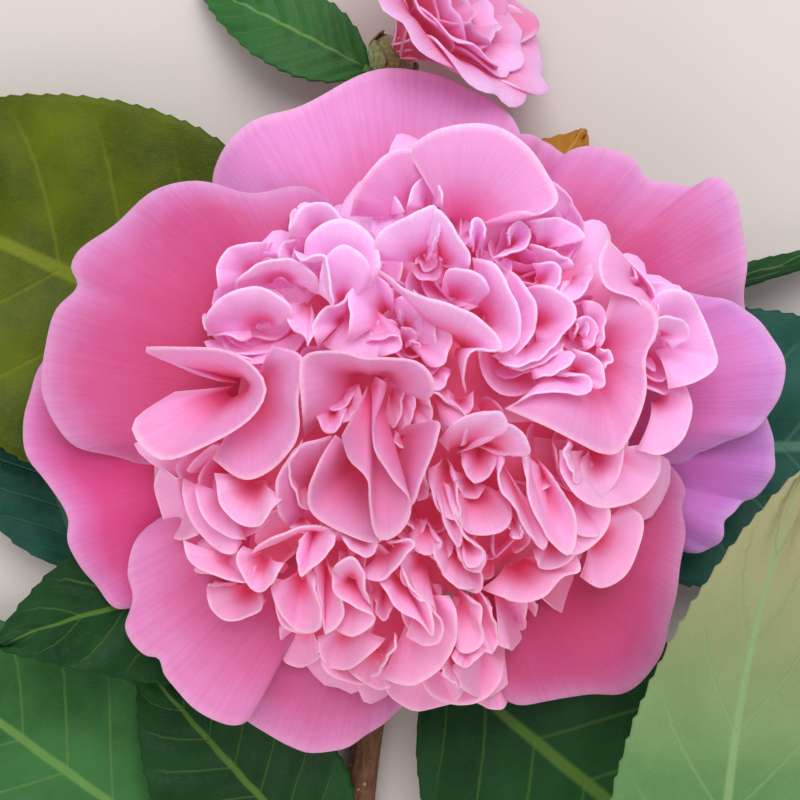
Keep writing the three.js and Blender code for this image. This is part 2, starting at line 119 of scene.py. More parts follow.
# name: foot, azimuth, length, width, rise, tip, lift, bend, roll, colour
LEAVES = {
    "leaf_left": ((-1.5, -4, 4.8), 148, 90, 56, 4, 3, 6, 13, -5, "olive"),
    "leaf_left_small": ((-1, -22, 4), 178, 53, 28, 5, 3, 8, 14, 6, "deep"),
    "leaf_left_lower": ((-49, -28, 3.6), 104, 38, 22, 4, 0, 0, 3, -4, "teal"),
    "leaf_left_tip": ((-67.5, -4, 3.4), 124, 46, 23, 4, 0, 0, -3, 5, "deep"),
    "leaf_bottom_left": ((-8, -75, 4), 128, 45, 28, 4, 0, 5, 3, 5, "deep"),
    "leaf_low_left": ((-25, -74, 4.6), 147, 66, 35, 1, 0, 0, -4, -4, "green"),
    "leaf_foot_left": ((-14, -92, 4), 212, 58, 30, 7, 0, 0, -4, 4, "deep"),
    "leaf_right": ((2, -6, 4), 2, 86, 42, 6, 0, 0, -2, 4, "teal"),
    "leaf_right_upper": ((13, 8, 4), 17, 60, 9, 6, 4, 0, 2, 68, "deep"),
    "leaf_bottom": ((-3, -31, 4.2), 318, 76, 50, 8, 4, 0, 5, -4, "deep"),
    "leaf_low_right": ((-7, -92, 4.2), 354, 48, 27, 6, 3, 6.5, -4, 5, "green"),
    "leaf_foot_right": ((58, -111, 4.6), 338, 58, 30, 7, 0, 0, 3, -4, "deep"),
    "leaf_bronze": ((12.6, 21, 4), 62, 24, 15, 6, 3, 2, -2, 6, "bronze"),
    "leaf_top": ((-2.8, 50.6, 6.6), 152, 30, 13, 3, 3, 1, 0, -8, "green"),
    "leaf_front": ((46, -113.8, 4.8), 109, 88, 33, 34, 44, None, -42, 8, "pale"),
}

SMALL_BLOOM_FOOT, SMALL_BLOOM_SCALE = (-4.4, 52.6, 9), 0.5
SMALL_BLOOM_AZIMUTH, SMALL_BLOOM_ELEVATION = 35, 32

# ---------- Frames ----------

cut_end = np.array(frame["record"]["mounts"][0]["pos_m"]) / MM
BRANCH_ORIGIN = cut_end - np.array(CUT_END_FROM_TWIG_START) - np.array(TWIG[0][0])


def polar(azimuth, out, height):
    a = math.radians(azimuth)
    return np.array([out * math.cos(a), out * math.sin(a), height])


def looking(azimuth, elevation):
    e = math.radians(elevation)
    return polar(azimuth, math.cos(e), math.sin(e))


def unit(v):
    return v / np.maximum(np.linalg.norm(v, axis=-1, keepdims=True), 1e-12)


branch_frame = Matrix.Translation(Vector(BRANCH_ORIGIN))
bloom_frame = (
    branch_frame
    @ Matrix.Translation((0, 0, BLOOM_FOOT_HEIGHT))
    @ Matrix.Rotation(math.radians(BLOOM_TILT), 4, Vector(looking(BLOOM_TILT_AZIMUTH, 0)))
)
small_bloom_frame = (
    branch_frame
    @ Matrix.Translation(SMALL_BLOOM_FOOT)
    @ Vector((0, 0, 1)).rotation_difference(Vector(looking(SMALL_BLOOM_AZIMUTH, SMALL_BLOOM_ELEVATION)))
    .to_matrix()
    .to_4x4()
    @ Matrix.Scale(SMALL_BLOOM_SCALE, 4)
)

# ---------- Places picked on the photo ----------

PICTURE_SIZE = 800  # pixels
CAMERA_HEIGHT = 300  # over the guard petals
GUARD_HEIGHT = 16 + BLOOM_FOOT_HEIGHT
VIEW_WIDTH = 115.2  # that the picture takes in at the guard petals
VIEW_SHIFT = (-1.4, 2.2)  # from the bloom's axis to the picture's middle
tilt, tilt_axis = math.radians(BLOOM_TILT), looking(BLOOM_TILT_AZIMUTH, 0)
# point @ TILTED is a point of the bloom's frame turned as the tilted bloom stands over the floor
TILTED = (
    math.cos(tilt) * np.eye(3)
    + math.sin(tilt) * np.cross(tilt_axis, np.eye(3))
    + (1 - math.cos(tilt)) * np.outer(tilt_axis, tilt_axis)
)


def below_pixel(x, y, height):
    """The point of the bloom's frame, at a height over its foot, that the camera sees at pixel x, y."""
    slope = np.array([x - PICTURE_SIZE / 2, PICTURE_SIZE / 2 - y]) * VIEW_WIDTH / PICTURE_SIZE / CAMERA_HEIGHT
    point = np.array([0, 0, height], float)
    for _ in range(8):  # each round brings the point closer under the pixel
        level = point @ TILTED
        below_camera = CAMERA_HEIGHT + GUARD_HEIGHT - BLOOM_FOOT_HEIGHT - level[2]
        point[:2] += slope * below_camera + VIEW_SHIFT - level[:2]
    return point


def picked(x, y, height):
    """That point to half a millimetre, about as closely as a place on a petal can be picked."""
    return np.round(2 * below_pixel(x, y, height)) / 2


def picked_on_heart(x, y, lift):
    """The x, y in the bloom's frame of a place on the heart's outside, or lifted over it."""
    height = HEART_FIRST_GUESS
    for _ in range(12):
        point = below_pixel(x, y, height)
        height = (height + heart_height(*point[:2]) + lift) / 2
    return np.round(2 * point[:2]) / 2


# ---------- Sheets: petals, scales and leaves ----------


class Spine:
    """A cubic Bezier curve, read at arrays of shares of its length."""

    def __init__(self, *controls):
        self.p = [np.asarray(c, float) for c in controls]

    def at(self, s):
        s = s[..., None]
        a, b, c, d = self.p
        return (1 - s) ** 3 * a + 3 * (1 - s) ** 2 * s * b + 3 * (1 - s) * s**2 * c + s**3 * d

    def tangent(self, s):
        s = s[..., None]
        a, b, c, d = self.p
        return unit((1 - s) ** 2 * (b - a) + 2 * (1 - s) * s * (c - b) + s**2 * (d - c))


def petal_width(claw, shoulder):
    def width_at(s):
        t = np.minimum(1, s / shoulder)
        return claw + (1 - claw) * t * t * (3 - 2 * t)

    return width_at


def leaf_width(s):
    s = np.clip(s, 0, 1)
    return np.sin(np.pi * s**0.85) ** 0.85 * (1 - 0.25 * s) * 1.1 + 0.02


def rows(along):
    """Shares from foot to tip, with one more close to the tip so that the rim is blunt."""
    return np.append(np.linspace(0, 1, along) ** 0.9 * 0.985, 1.0)


def sheet(
    spine,
    face,
    width,
    width_at,
    steps,
    round_end=0.3,
    notch=0.0,
    cup=0.0,
    flare=0.0,
    fold=0.0,
    ruffle=0.0,
    waves=3,
    phase=0.0,
    part=(0, 1),
):
    """The middle surface of a blade as a grid of points, with each point's share along and across it.

    part is the stretch of the spine that the blade takes. cup bends it across in 1/mm, flare changes that
    towards the tip, fold makes it a keel, and ruffle is the height of the waves in its rim.
    """
    along, across = steps
    u = rows(along)[:, None]
    t = np.linspace(-1, 1, across + 1)[None, :] * (math.pi / 2)
    v = np.sin(t) + 0 * u
    end = 1 - round_end + round_end * np.cos(t) - notch * np.exp(-((v / 0.22) ** 2))
    s = u * end
    where = part[0] + (part[1] - part[0]) * s
    tangent = spine.tangent(where)
    normal = unit(face - (face * tangent).sum(-1, keepdims=True) * tangent)
    side = np.cross(normal, tangent)
    reach = v * width * width_at(s) / 2
    curve = cup + flare * s
    curve = np.where(np.abs(curve) < 1e-5, 1e-5, curve)
    bend = curve * reach
    sideways, arc = np.sin(bend) / curve, (1 - np.cos(bend)) / curve
    rim = np.maximum(v * v, s**3) * np.minimum(1, 2 * s)
    around = np.arctan2(v, 1.4 * (s - 0.4))
    swing = np.sin(waves * around + phase) + 0.4 * np.sin(2.3 * waves * around + 1.7 * phase)
    lift = arc + ruffle * rim * swing + fold * (np.hypot(reach, 1) - 1)
    points = spine.at(where) + side * sideways[..., None] + normal * lift[..., None]
    return points, s, v


def grid_normals(points):
    return unit(np.cross(np.gradient(points, axis=1), np.gradient(points, axis=0)))


class Heap:
    """Closed thin blades gathered into one mesh, with what the materials read of each."""

    def __init__(self):
        self.points, self.faces, self.uv, self.tint, self.rib, self.sharp = [], [], [], [], [], []
        self.count = 0

    def add(self, points, faces, s, v, tint, rib=0.0, sharp=False):
        """One closed body, turned so that its faces point out. Edges between sharp vertices stay sharp."""
        a, b, c, d = (points[faces[:, k]] - points[0] for k in range(4))
        if (a * np.cross(b, c) + a * np.cross(c, d)).sum() < 0:
            faces = faces[:, [1, 0, 3, 2]]
        self.points.append(points.reshape(-1, 3))
        self.faces.append(faces + self.count)
        n = len(self.points[-1])
        self.sharp.append(np.broadcast_to(sharp, n))
        self.uv.append(np.stack([np.broadcast_to(v, n), np.broadcast_to(s, n)], -1))
        self.tint.append(np.full(n, tint))
        self.rib.append(np.broadcast_to(rib, n))
        self.count += n

    def blade(self, grid, thickness, tint=0.5, relief=None):
        """A closed blade round a grid: two faces that meet along the rim."""
        points, s, v = grid
        m, n = points.shape[:2]
        index = np.arange(m * n).reshape(m, n)
        rim = np.ones((m, n), bool)
        rim[1:-1, 1:-1] = False
        under = index.copy()
        under[~rim] = m * n + np.arange((~rim).sum())
        normal = grid_normals(points)
        half = normal * (np.where(rim, 0, thickness / 2)[..., None])
        raised = 0 if relief is None else normal * np.where(rim, 0, relief)[..., None]
        top, bottom = points + half + raised, points - half + raised
        verts = np.concatenate([top.reshape(-1, 3), bottom[~rim]])
        quads = [
            np.stack([g[:-1, :-1], g[:-1, 1:], g[1:, 1:], g[1:, :-1]], -1).reshape(-1, 4)
            for g in (index, under)
        ]
        faces = np.concatenate([quads[0][:, ::-1], quads[1]])
        s_all = np.concatenate([s.ravel(), s[~rim]])
        v_all = np.concatenate([v.ravel(), v[~rim]])
        self.add(verts, faces, s_all, v_all, tint, sharp=np.append(rim.ravel(), np.zeros((~rim).sum(), bool)))

    def tube(self, rings, s, tint=0.5, rib=1.0):
        """A closed tube through rings of points (rings, sides, 3), its ends drawn to a point."""
        m, n = rings.shape[:2]
        index = np.arange(m * n).reshape(m, n)
        turn = np.roll(index, -1, axis=1)
        quads = np.stack([index[:-1], turn[:-1], turn[1:], index[1:]], -1).reshape(-1, 4)
        ends = np.stack([rings[0].mean(0), rings[-1].mean(0)])
        first, last = m * n, m * n + 1
        caps = [np.stack([turn[0], index[0], np.full(n, first), np.full(n, first)], -1)]
        caps.append(np.stack([index[-1], turn[-1], np.full(n, last), np.full(n, last)], -1))
        verts = np.concatenate([rings.reshape(-1, 3), ends])
        s_all = np.concatenate([np.repeat(s, n), [s[0], s[-1]]])
        around = np.concatenate([np.tile(np.linspace(-1, 1, n), m), [0, 0]])
        self.add(verts, np.concatenate([quads, *caps]), s_all, around, tint, rib)

    def piece(self, name, matrix, material, slot, *nodes):
        """The gathered mesh as a finished piece that stands for CAD nodes."""
        points = np.concatenate(self.points)
        m = np.array(matrix)
        points = (points @ m[:3, :3].T + m[:3, 3]) * MM
        quads = np.concatenate(self.faces)
        faces = [list(dict.fromkeys(q)) for q in quads.tolist()]
        mesh = bpy.data.meshes.new(name)
        mesh.from_pydata(points.tolist(), [], faces)
        mesh.polygons.foreach_set("use_smooth", np.ones(len(mesh.polygons), bool))
        ends = np.zeros(2 * len(mesh.edges), np.int32)
        mesh.edges.foreach_get("vertices", ends)
        sharp = np.concatenate(self.sharp)[ends.reshape(-1, 2)].all(axis=1)
        mesh.attributes.new("sharp_edge", "BOOLEAN", "EDGE").data.foreach_set("value", sharp)
        corner = np.zeros(len(mesh.loops), np.int32)
        mesh.loops.foreach_get("vertex_index", corner)
        uv = np.concatenate(self.uv)
        layer = mesh.uv_layers.new(name="blade")
        layer.data.foreach_set("uv", uv[corner].astype(np.float32).ravel())
        for key, values in (("tint", self.tint), ("rib", self.rib)):
            attribute = mesh.attributes.new(key, "FLOAT", "POINT")
            attribute.data.foreach_set("value", np.concatenate(values).astype(np.float32))
        mesh.materials.append(material)
        obj = bpy.data.objects.new(name, mesh)
        bpy.context.scene.collection.objects.link(obj)
        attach(obj, "root")
        if nodes:
            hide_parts(*nodes)
        return obj


# ---------- Materials ----------


class Nodes:
    """A material under construction. A value given to add() is linked if it is a socket."""

    def __init__(self, name):
        self.material = bpy.data.materials.new(name)
        self.material.use_nodes = True
        self.tree = self.material.node_tree
        self.shader = self.tree.nodes["Principled BSDF"]

    def set(self, node, key, value):
        socket = node.inputs[key]
        if isinstance(value, bpy.types.NodeSocket):
            self.tree.links.new(value, socket)
        elif hasattr(socket, "default_value"):
            socket.default_value = value

    def add(self, kind, inputs=(), output=0, **settings):
        node = self.tree.nodes.new("ShaderNode" + kind)
        for key, value in settings.items():
            setattr(node, key, value)
        for key, value in dict(inputs).items():
            self.set(node, key, value)
        return node.outputs[output]

    def math(self, operation, a, b=0.0):
        return self.add("Math", {0: a, 1: b}, operation=operation)

    def attribute(self, name):
        return self.add("Attribute", output="Fac", attribute_name=name)

    def blade(self):
        """Share across (-1 to 1) and along (0 to 1) the blade."""
        split = self.tree.nodes.new("ShaderNodeSeparateXYZ")
        uv = self.add("UVMap", uv_map="blade")
        self.tree.links.new(uv, split.inputs[0])
        return split.outputs[0], split.outputs[1]

    def noise(self, scale, detail=3.0, vector=None, roughness=0.5):
        where = vector or self.add("TexCoord", output="Object")
        inputs = {"Vector": where, "Scale": scale, "Detail": detail, "Roughness": roughness}
        return self.add("TexNoise", inputs, output="Fac")

    def ramp(self, fac, stops):
        node = self.tree.nodes.new("ShaderNodeValToRGB")
        elements = node.color_ramp.elements
        while len(elements) < len(stops):
            elements.new(0.5)
        for element, (position, colour) in zip(elements, stops):
            element.position = position
            element.color = (*colour, 1)
        self.tree.links.new(fac, node.inputs[0])
        return node.outputs[0]

    def mix(self, fac, a, b, blend="MIX"):
        node = self.tree.nodes.new("ShaderNodeMix")
        node.data_type = "RGBA"
        node.blend_type = blend
        for key, value in ((0, fac), (6, a), (7, b)):
            if isinstance(value, tuple):
                value = (*value, 1) if len(value) == 3 else value
            self.set(node, key, value)
        return node.outputs[2]

    def between(self, value, low, high, to_low=0.0, to_high=1.0):
        inputs = {0: value, 1: low, 2: high, 3: to_low, 4: to_high}
        return self.add("MapRange", inputs, interpolation_type="SMOOTHSTEP")

    def bump(self, height, strength, distance):
        inputs = {"Height": height, "Strength": strength, "Distance": distance}
        return self.add("Bump", inputs)


EVEN = (1.0, 1.0, 1.0)


def petal_material(
    name,
    deep,
    middle,
    rim,
    upper=EVEN,
    lower=EVEN,
    foot_share=0.25,
    glow=0.0,
    rim_highlight=0.3,
    vein_strength=0.12,
):
    """Satin petal: deep at the foot, pale at the rim, with fine veins that fan out to the rim. The deep foot
    and the pale rim are partly the petal's own colour and partly painted light: painted shade at the foot,
    which lies deep between the petals, and painted light at the thin rim, which light shines through.

    upper and lower tint the petals at the top and bottom of the bloom with painted light: upper for the cool
    sky light that falls on the top, lower for the warm light that bounces up at the bottom. foot_share is
    where the deep foot ends, glow stands for the light that comes through from the petals behind, and
    rim_highlight is how much of the rim turns to the palest pink, a painted highlight.
    """
    n = Nodes(name)
    across, along = n.blade()
    out = n.math("ABSOLUTE", across)
    edge = n.math("MAXIMUM", n.math("POWER", out, 4.0), n.math("POWER", along, 4.0))
    tint = n.attribute("tint")
    cloud = n.noise(140.0, 2.0)
    place = n.math("ADD", along, n.math("MULTIPLY", n.math("SUBTRACT", cloud, 0.5), 0.25))
    place = n.math("ADD", place, n.math("MULTIPLY", n.math("SUBTRACT", tint, 0.5), 0.45))
    # Partly the petal's own colour and partly painted light: painted shade at the deep foot, painted light at
    # the pale rim, here and in the next mix.
    colour = n.ramp(place, [(foot_share, deep), (foot_share + 0.42, middle), (foot_share + 0.75, rim)])
    colour = n.mix(n.math("MULTIPLY", n.between(edge, 0.5, 1.0), 0.8), colour, rim)
    # Painted highlight: the outermost rim turns to the palest pink.
    colour = n.mix(n.math("MULTIPLY", n.between(edge, 0.78, 1.0), rim_highlight), colour, (1.0, 0.74, 0.9))
    fan_across, fan_along = n.math("MULTIPLY", across, 48.0), n.math("MULTIPLY", along, 2.2)
    fan = n.add("CombineXYZ", {0: fan_across, 1: fan_along, 2: tint})
    veins = n.noise(1.0, 3.0, fan, 0.6)
    vein = n.between(veins, 0.42, 0.62)
    colour = n.mix(n.math("MULTIPLY", vein, vein_strength), colour, deep)
    # Painted light: cooler towards the top of the bloom, where sky light falls, and warmer towards its
    # bottom, where warm light bounces up.
    split = n.tree.nodes.new("ShaderNodeSeparateXYZ")
    n.tree.links.new(n.add("TexCoord", output="Object"), split.inputs[0])
    painted_light_tint = n.mix(n.between(split.outputs[1], 0.0, 0.08), lower, upper)
    colour = n.mix(1.0, colour, painted_light_tint, "MULTIPLY")
    # Painted shade: the less pale a petal (its tint), the darker it is made, for petals that lie in less
    # light.
    shaded = n.mix(1.0, colour, (0.8, 0.78, 0.8), "MULTIPLY")
    colour = n.mix(n.between(tint, 0.9, 0.0, 0.0, 1.0), colour, shaded)
    n.set(n.shader, "Base Color", colour)
    n.set(n.shader, "Roughness", n.between(cloud, 0.3, 0.7, 0.42, 0.6))
    n.set(n.shader, "Specular IOR Level", 0.3)
    n.set(n.shader, "Subsurface Weight", 0.4)
    n.set(n.shader, "Subsurface Radius", (1.0, 0.3, 0.5))
    n.set(n.shader, "Subsurface Scale", 0.0004)
    n.set(n.shader, "Emission Color", (1.0, 0.1, 0.22, 1.0))
    n.set(n.shader, "Emission Strength", glow)
    n.set(n.shader, "Sheen Weight", 0.08)
    n.set(n.shader, "Sheen Roughness", 0.4)
    fine = n.noise(2600.0, 2.0)
    height = n.math("ADD", n.math("MULTIPLY", veins, 0.5), n.math("MULTIPLY", fine, 0.25))
    n.set(n.shader, "Normal", n.bump(height, 0.25, 0.0006))
    return n.material


def leaf_material(name, base, pale, rib, gloss=0.34, end=None):
    """Leathery glossy leaf with a pale midrib and curved side veins. end colours its outer half."""
    n = Nodes(name)
    across, along = n.blade()
    out = n.math("ABSOLUTE", across)
    side_vein = n.math("SUBTRACT", n.math("MULTIPLY", along, SIDE_VEINS), n.math("MULTIPLY", out, VEIN_SWEEP))
    near = n.math("ABSOLUTE", n.math("SUBTRACT", n.math("FRACT", side_vein), 0.5))
    vein = n.math("MULTIPLY", n.between(near, 0.44, 0.5), n.between(out, 0.95, 0.6))
    midrib = n.between(out, 0.055, 0.02)
    stalk = n.attribute("rib")
    cloud = n.noise(70.0, 4.0)
    mottle = n.noise(900.0, 3.0)
    where = n.add("TexCoord", output="Object")
    net = n.add(
        "TexVoronoi", {"Vector": where, "Scale": 900.0}, output="Distance", feature="DISTANCE_TO_EDGE"
    )
    colour = n.mix(n.between(cloud, 0.3, 0.75), base, pale)
    colour = n.mix(n.math("MULTIPLY", n.between(mottle, 0.45, 0.8), 0.25), colour, pale)
    if end:
        colour = n.mix(n.math("MULTIPLY", n.between(along, 0.5, 0.95), 0.85), colour, end)
    colour = n.mix(n.math("MULTIPLY", vein, 0.4), colour, rib)
    colour = n.mix(n.math("MAXIMUM", n.math("MULTIPLY", midrib, 0.85), stalk), colour, rib)
    n.set(n.shader, "Base Color", colour)
    n.set(n.shader, "Roughness", n.between(cloud, 0.3, 0.7, gloss, gloss + 0.16))
    n.set(n.shader, "Specular IOR Level", 0.12)
    n.set(n.shader, "Coat Weight", 0.03)
    n.set(n.shader, "Coat Roughness", 0.25)
    n.set(n.shader, "Subsurface Weight", 0.08)
    n.set(n.shader, "Subsurface Radius", (0.4, 1.0, 0.2))
    n.set(n.shader, "Subsurface Scale", 0.0008)
    cells = n.between(net, 0.0, 0.12)
    height = n.math("ADD", n.math("MULTIPLY", vein, -0.6), n.math("MULTIPLY", cells, 0.12))
    height = n.math("ADD", height, n.math("MULTIPLY", mottle, 0.2))
    n.set(n.shader, "Normal", n.bump(height, 0.5, 0.0004))
    return n.material


def bark_material():
    """Reddish brown bark with grey flakes, fine cracks along the twig, and pale lenticels."""
    n = Nodes("bark")
    where = n.add("TexCoord", output="Object")
    around, along = n.blade()
    strand = n.add("CombineXYZ", {0: n.math("MULTIPLY", around, 9.0), 1: n.math("MULTIPLY", along, 60.0)})
    cracks = n.noise(1.0, 6.0, strand, 0.7)
    flakes = n.noise(420.0, 5.0, where, 0.65)
    spots = n.add("TexVoronoi", {"Vector": where, "Scale": 520.0}, output="Distance")
    dark, brown, light = (0.09, 0.035, 0.016), (0.25, 0.11, 0.05), (0.36, 0.2, 0.11)
    colour = n.ramp(cracks, [(0.3, dark), (0.55, brown), (0.8, light)])
    colour = n.mix(n.between(flakes, 0.55, 0.75), colour, (0.4, 0.31, 0.22))
    colour = n.mix(n.between(spots, 0.16, 0.08), colour, (0.5, 0.4, 0.28))
    n.set(n.shader, "Base Color", colour)
    n.set(n.shader, "Roughness", n.between(flakes, 0.3, 0.7, 0.6, 0.85))
    height = n.math("ADD", cracks, n.math("MULTIPLY", flakes, 0.5))
    n.set(n.shader, "Normal", n.bump(height, 0.7, 0.0005))
    return n.material


def scale_material():
    """Downy bud scale: yellow green with a brown, papery rim."""
    n = Nodes("bud_scale")
    across, along = n.blade()
    out = n.math("ABSOLUTE", across)
    edge = n.math("MAXIMUM", n.math("POWER", out, 2.0), n.math("POWER", along, 4.0))
    down = n.noise(1500.0, 4.0)
    colour = n.mix(n.between(down, 0.35, 0.7), (0.19, 0.22, 0.05), (0.4, 0.42, 0.16))
    colour = n.mix(n.between(edge, 0.55, 1.0), colour, (0.22, 0.12, 0.05))
    n.set(n.shader, "Base Color", colour)
    n.set(n.shader, "Roughness", n.between(down, 0.3, 0.7, 0.6, 0.8))
    n.set(n.shader, "Sheen Weight", 0.5)
    n.set(n.shader, "Normal", n.bump(down, 0.5, 0.0003))
    return n.material


def wood_material():
    """The fresh cut: pale wood with a darker middle."""
    n = Nodes("cut_wood")
    where = n.add("TexCoord", output="Object")
    rings = n.noise(1600.0, 4.0, where)
    colour = n.mix(n.between(rings, 0.3, 0.7), (0.62, 0.5, 0.3), (0.45, 0.33, 0.17))
    n.set(n.shader, "Base Color", colour)
    n.set(n.shader, "Roughness", n.between(rings, 0.3, 0.7, 0.6, 0.75))
    n.set(n.shader, "Normal", n.bump(rings, 0.3, 0.0002))
    return n.material


def floor_material():
    n = Nodes("floor")
    grain = n.noise(30.0, 3.0)
    n.set(n.shader, "Base Color", n.mix(grain, (0.71, 0.65, 0.6), (0.76, 0.705, 0.645)))
    n.set(n.shader, "Roughness", 0.8)
    return n.material


SIDE_VEINS = 8.0
VEIN_SWEEP = 1.6

guard_pink = petal_material(
    "guard_petal",
    deep=(0.68, 0.035, 0.15),
    middle=(0.75, 0.12, 0.35),
    rim=(0.82, 0.33, 0.70),
    lower=(0.96, 0.83, 0.82),
    glow=0.02,
)
guard_violet = petal_material(
    "guard_petal_violet", deep=(0.62, 0.08, 0.34), middle=(0.68, 0.18, 0.62), rim=(0.72, 0.3, 0.8)
)
# Painted light: a redder copy of the guard petal with more glow, for the lower left petal, which lies in
# shade under the upper left one.
guard_in_shade = petal_material(
    "guard_petal_in_shade", deep=(0.78, 0.025, 0.15), middle=(0.83, 0.085, 0.34), rim=(0.86, 0.3, 0.7), glow=0.05
)
guard_lilac = petal_material(
    "guard_petal_lilac", deep=(0.66, 0.045, 0.2), middle=(0.71, 0.15, 0.45), rim=(0.75, 0.31, 0.76)
)
flap_pink = petal_material(
    "heart_flap",
    deep=(0.83, 0.09, 0.26),
    middle=(0.84, 0.27, 0.54),
    rim=(0.82, 0.41, 0.75),
    lower=(1.0, 0.84, 0.83),
    foot_share=0.05,
    glow=0.09,
    rim_highlight=0.7,
)
heart_pink = petal_material(
    "heart_petal",
    deep=(0.84, 0.06, 0.16),
    middle=(0.9, 0.25, 0.46),
    rim=(0.91, 0.52, 0.84),
    upper=(0.98, 1.12, 1.14),
    lower=(0.95, 0.83, 0.83),
    foot_share=0.14,
    glow=0.1,
    rim_highlight=0.75,
    vein_strength=0.1,
)
GUARD_LOOKS = {"lower_right": guard_violet, "right": guard_lilac, "lower_left": guard_in_shade}

LEAF_MATERIALS = {
    "olive": leaf_material("leaf_olive", (0.05, 0.075, 0.0015), (0.125, 0.165, 0.002), (0.19, 0.23, 0.012)),
    "deep": leaf_material("leaf_deep", (0.006, 0.04, 0.008), (0.016, 0.08, 0.02), (0.1, 0.2, 0.03)),
    "green": leaf_material("leaf_green", (0.02, 0.1, 0.02), (0.05, 0.18, 0.045), (0.15, 0.3, 0.07)),
    "teal": leaf_material("leaf_teal", (0.01, 0.07, 0.045), (0.03, 0.13, 0.095), (0.08, 0.22, 0.14), 0.4),
    "pale": leaf_material(
        "leaf_pale", (0.1, 0.24, 0.075), (0.17, 0.32, 0.12), (0.25, 0.4, 0.16), 0.42, (0.4, 0.36, 0.19)
    ),
    "bronze": leaf_material("leaf_bronze", (0.33, 0.12, 0.01), (0.5, 0.22, 0.03), (0.5, 0.3, 0.06), 0.4),
}
bark = bark_material()
scales = scale_material()
cut_wood = wood_material()

# ---------- The large bloom ----------

# steps along and across the grid of each kind of petal
GUARD_STEPS = (44, 90)
LARGE_STEPS = (18, 40)
SHELL_STEPS = (14, 30)
WHORL_STEPS = (12, 12)
DRAPE_STEPS = (14, 12)


def along_rim(points, across):
    """Points at even steps along the smooth rim through points, and how far along it from -1 to 1."""
    rim = catmull_rom(points, 40 * len(points))
    run = np.append(0, np.cumsum(np.linalg.norm(np.diff(rim, axis=0), axis=1)))
    v = np.linspace(-1, 1, across + 1)
    return np.stack([np.interp((v + 1) / 2 * run[-1], run, rim[:, k]) for k in range(3)], -1), v


BURIED = 0.06  # share of a petal's length, next to its foot, that is left out


def spread(controls, v, along, wave_height, droop, thickness, heap, paleness):
    """A petal made of Bezier curves from its foot to its rim, with waves that grow towards the rim.

    Its sides droop, so that they go in under its neighbours.
    """
    foot, one, two, ends = controls
    ends = ends - UP * droop * (np.abs(v) ** 6)[:, None]
    u = (rows(along) * (1 - BURIED) + BURIED)[:, None, None]
    points = (1 - u) ** 3 * foot + 3 * (1 - u) ** 2 * u * one + 3 * (1 - u) * u**2 * two + u**3 * ends
    s, v = u[..., 0] + 0 * v, v + 0 * u[..., 0]
    phase = 6.3 * dice.random()
    folds = np.sin(5 * v + phase) + 0.5 * np.sin(11 * v + 2 * phase)
    frill = 0.15 * np.sin(24 * v + 3 * phase) * s**6
    points = points + grid_normals(points) * (wave_height * (folds * s**3 + frill))[..., None]
    heap.blade((points, s, v), thickness, paleness)
    return points


def guard_petals():
    along, across = GUARD_STEPS
    for name, (azimuth, tier, paleness, wave_height, rim) in GUARD_PETALS.items():
        foot_height, shoulder, rim_height = TIERS[tier]
        foot = polar(azimuth, GUARD_FOOT_RADIUS, foot_height)
        ends, v = along_rim([picked(x, y, rim_height) for x, y in rim], across)
        flat = (ends - foot) * [1, 1, 0]
        one = foot + 0.35 * flat + UP * (shoulder - foot_height)
        two = foot + 0.75 * flat + UP * (shoulder + 1 - foot_height)
        heap = Heap()
        spread((foot, one, two, ends), v, along, wave_height, GUARD_DROOP, GUARD_THICKNESS, heap, paleness)
        node = "guard_petal_" + name
        heap.piece(node + "_skin", bloom_frame, GUARD_LOOKS.get(name, guard_pink), "guard_petal", node)


# The heart's outline: its reach in mm every 15 degrees from azimuth 0
HEART_REACH = [40, 44, 39, 38, 36, 41, 39, 31, 34, 33, 31, 38, 39, 38, 37, 38, 36, 39, 41, 41, 33, 36, 37, 37]
HEART_RIM_HEIGHT, HEART_RISE = 18, 26
HEART_FIRST_GUESS = 40  # the height that the search for a picked place starts from
HEART_THICKNESS = 0.34  # of its petals


def heart_reach(azimuth):
    return np.interp(azimuth % 360, np.arange(25) * 15, HEART_REACH + HEART_REACH[:1])


def heart_share(x, y):
    """How far out x, y is, as a share of the heart's reach that way."""
    return math.hypot(x, y) / heart_reach(math.degrees(math.atan2(y, x)))


def heart_height(x, y):
    return HEART_RIM_HEIGHT + HEART_RISE * math.sqrt(max(0, 1 - min(1, heart_share(x, y)) ** 2))


def heart_surface(x, y):
    """The point of the heart's domed outside over x, y, and the way that it faces there."""
    step = 1.5
    slope_x = (heart_height(x + step, y) - heart_height(x - step, y)) / (2 * step)
    slope_y = (heart_height(x, y + step) - heart_height(x, y - step)) / (2 * step)
    return np.array([x, y, heart_height(x, y)]), unit(np.array([-slope_x, -slope_y, 1.0]))


COVER_CELL, COVER_HALF = 0.5, 60
UNDER_COVER = 0.9  # how far below a large petal a small one stays
MOST_SUNK = 6.5  # a small petal that would have to sink further is left out
# How much paler the heart's petals are made towards its outside and its upper half: painted light.
PAINTED_LIGHT_OUTSIDE, PAINTED_LIGHT_ABOVE = 0.8, 0.35


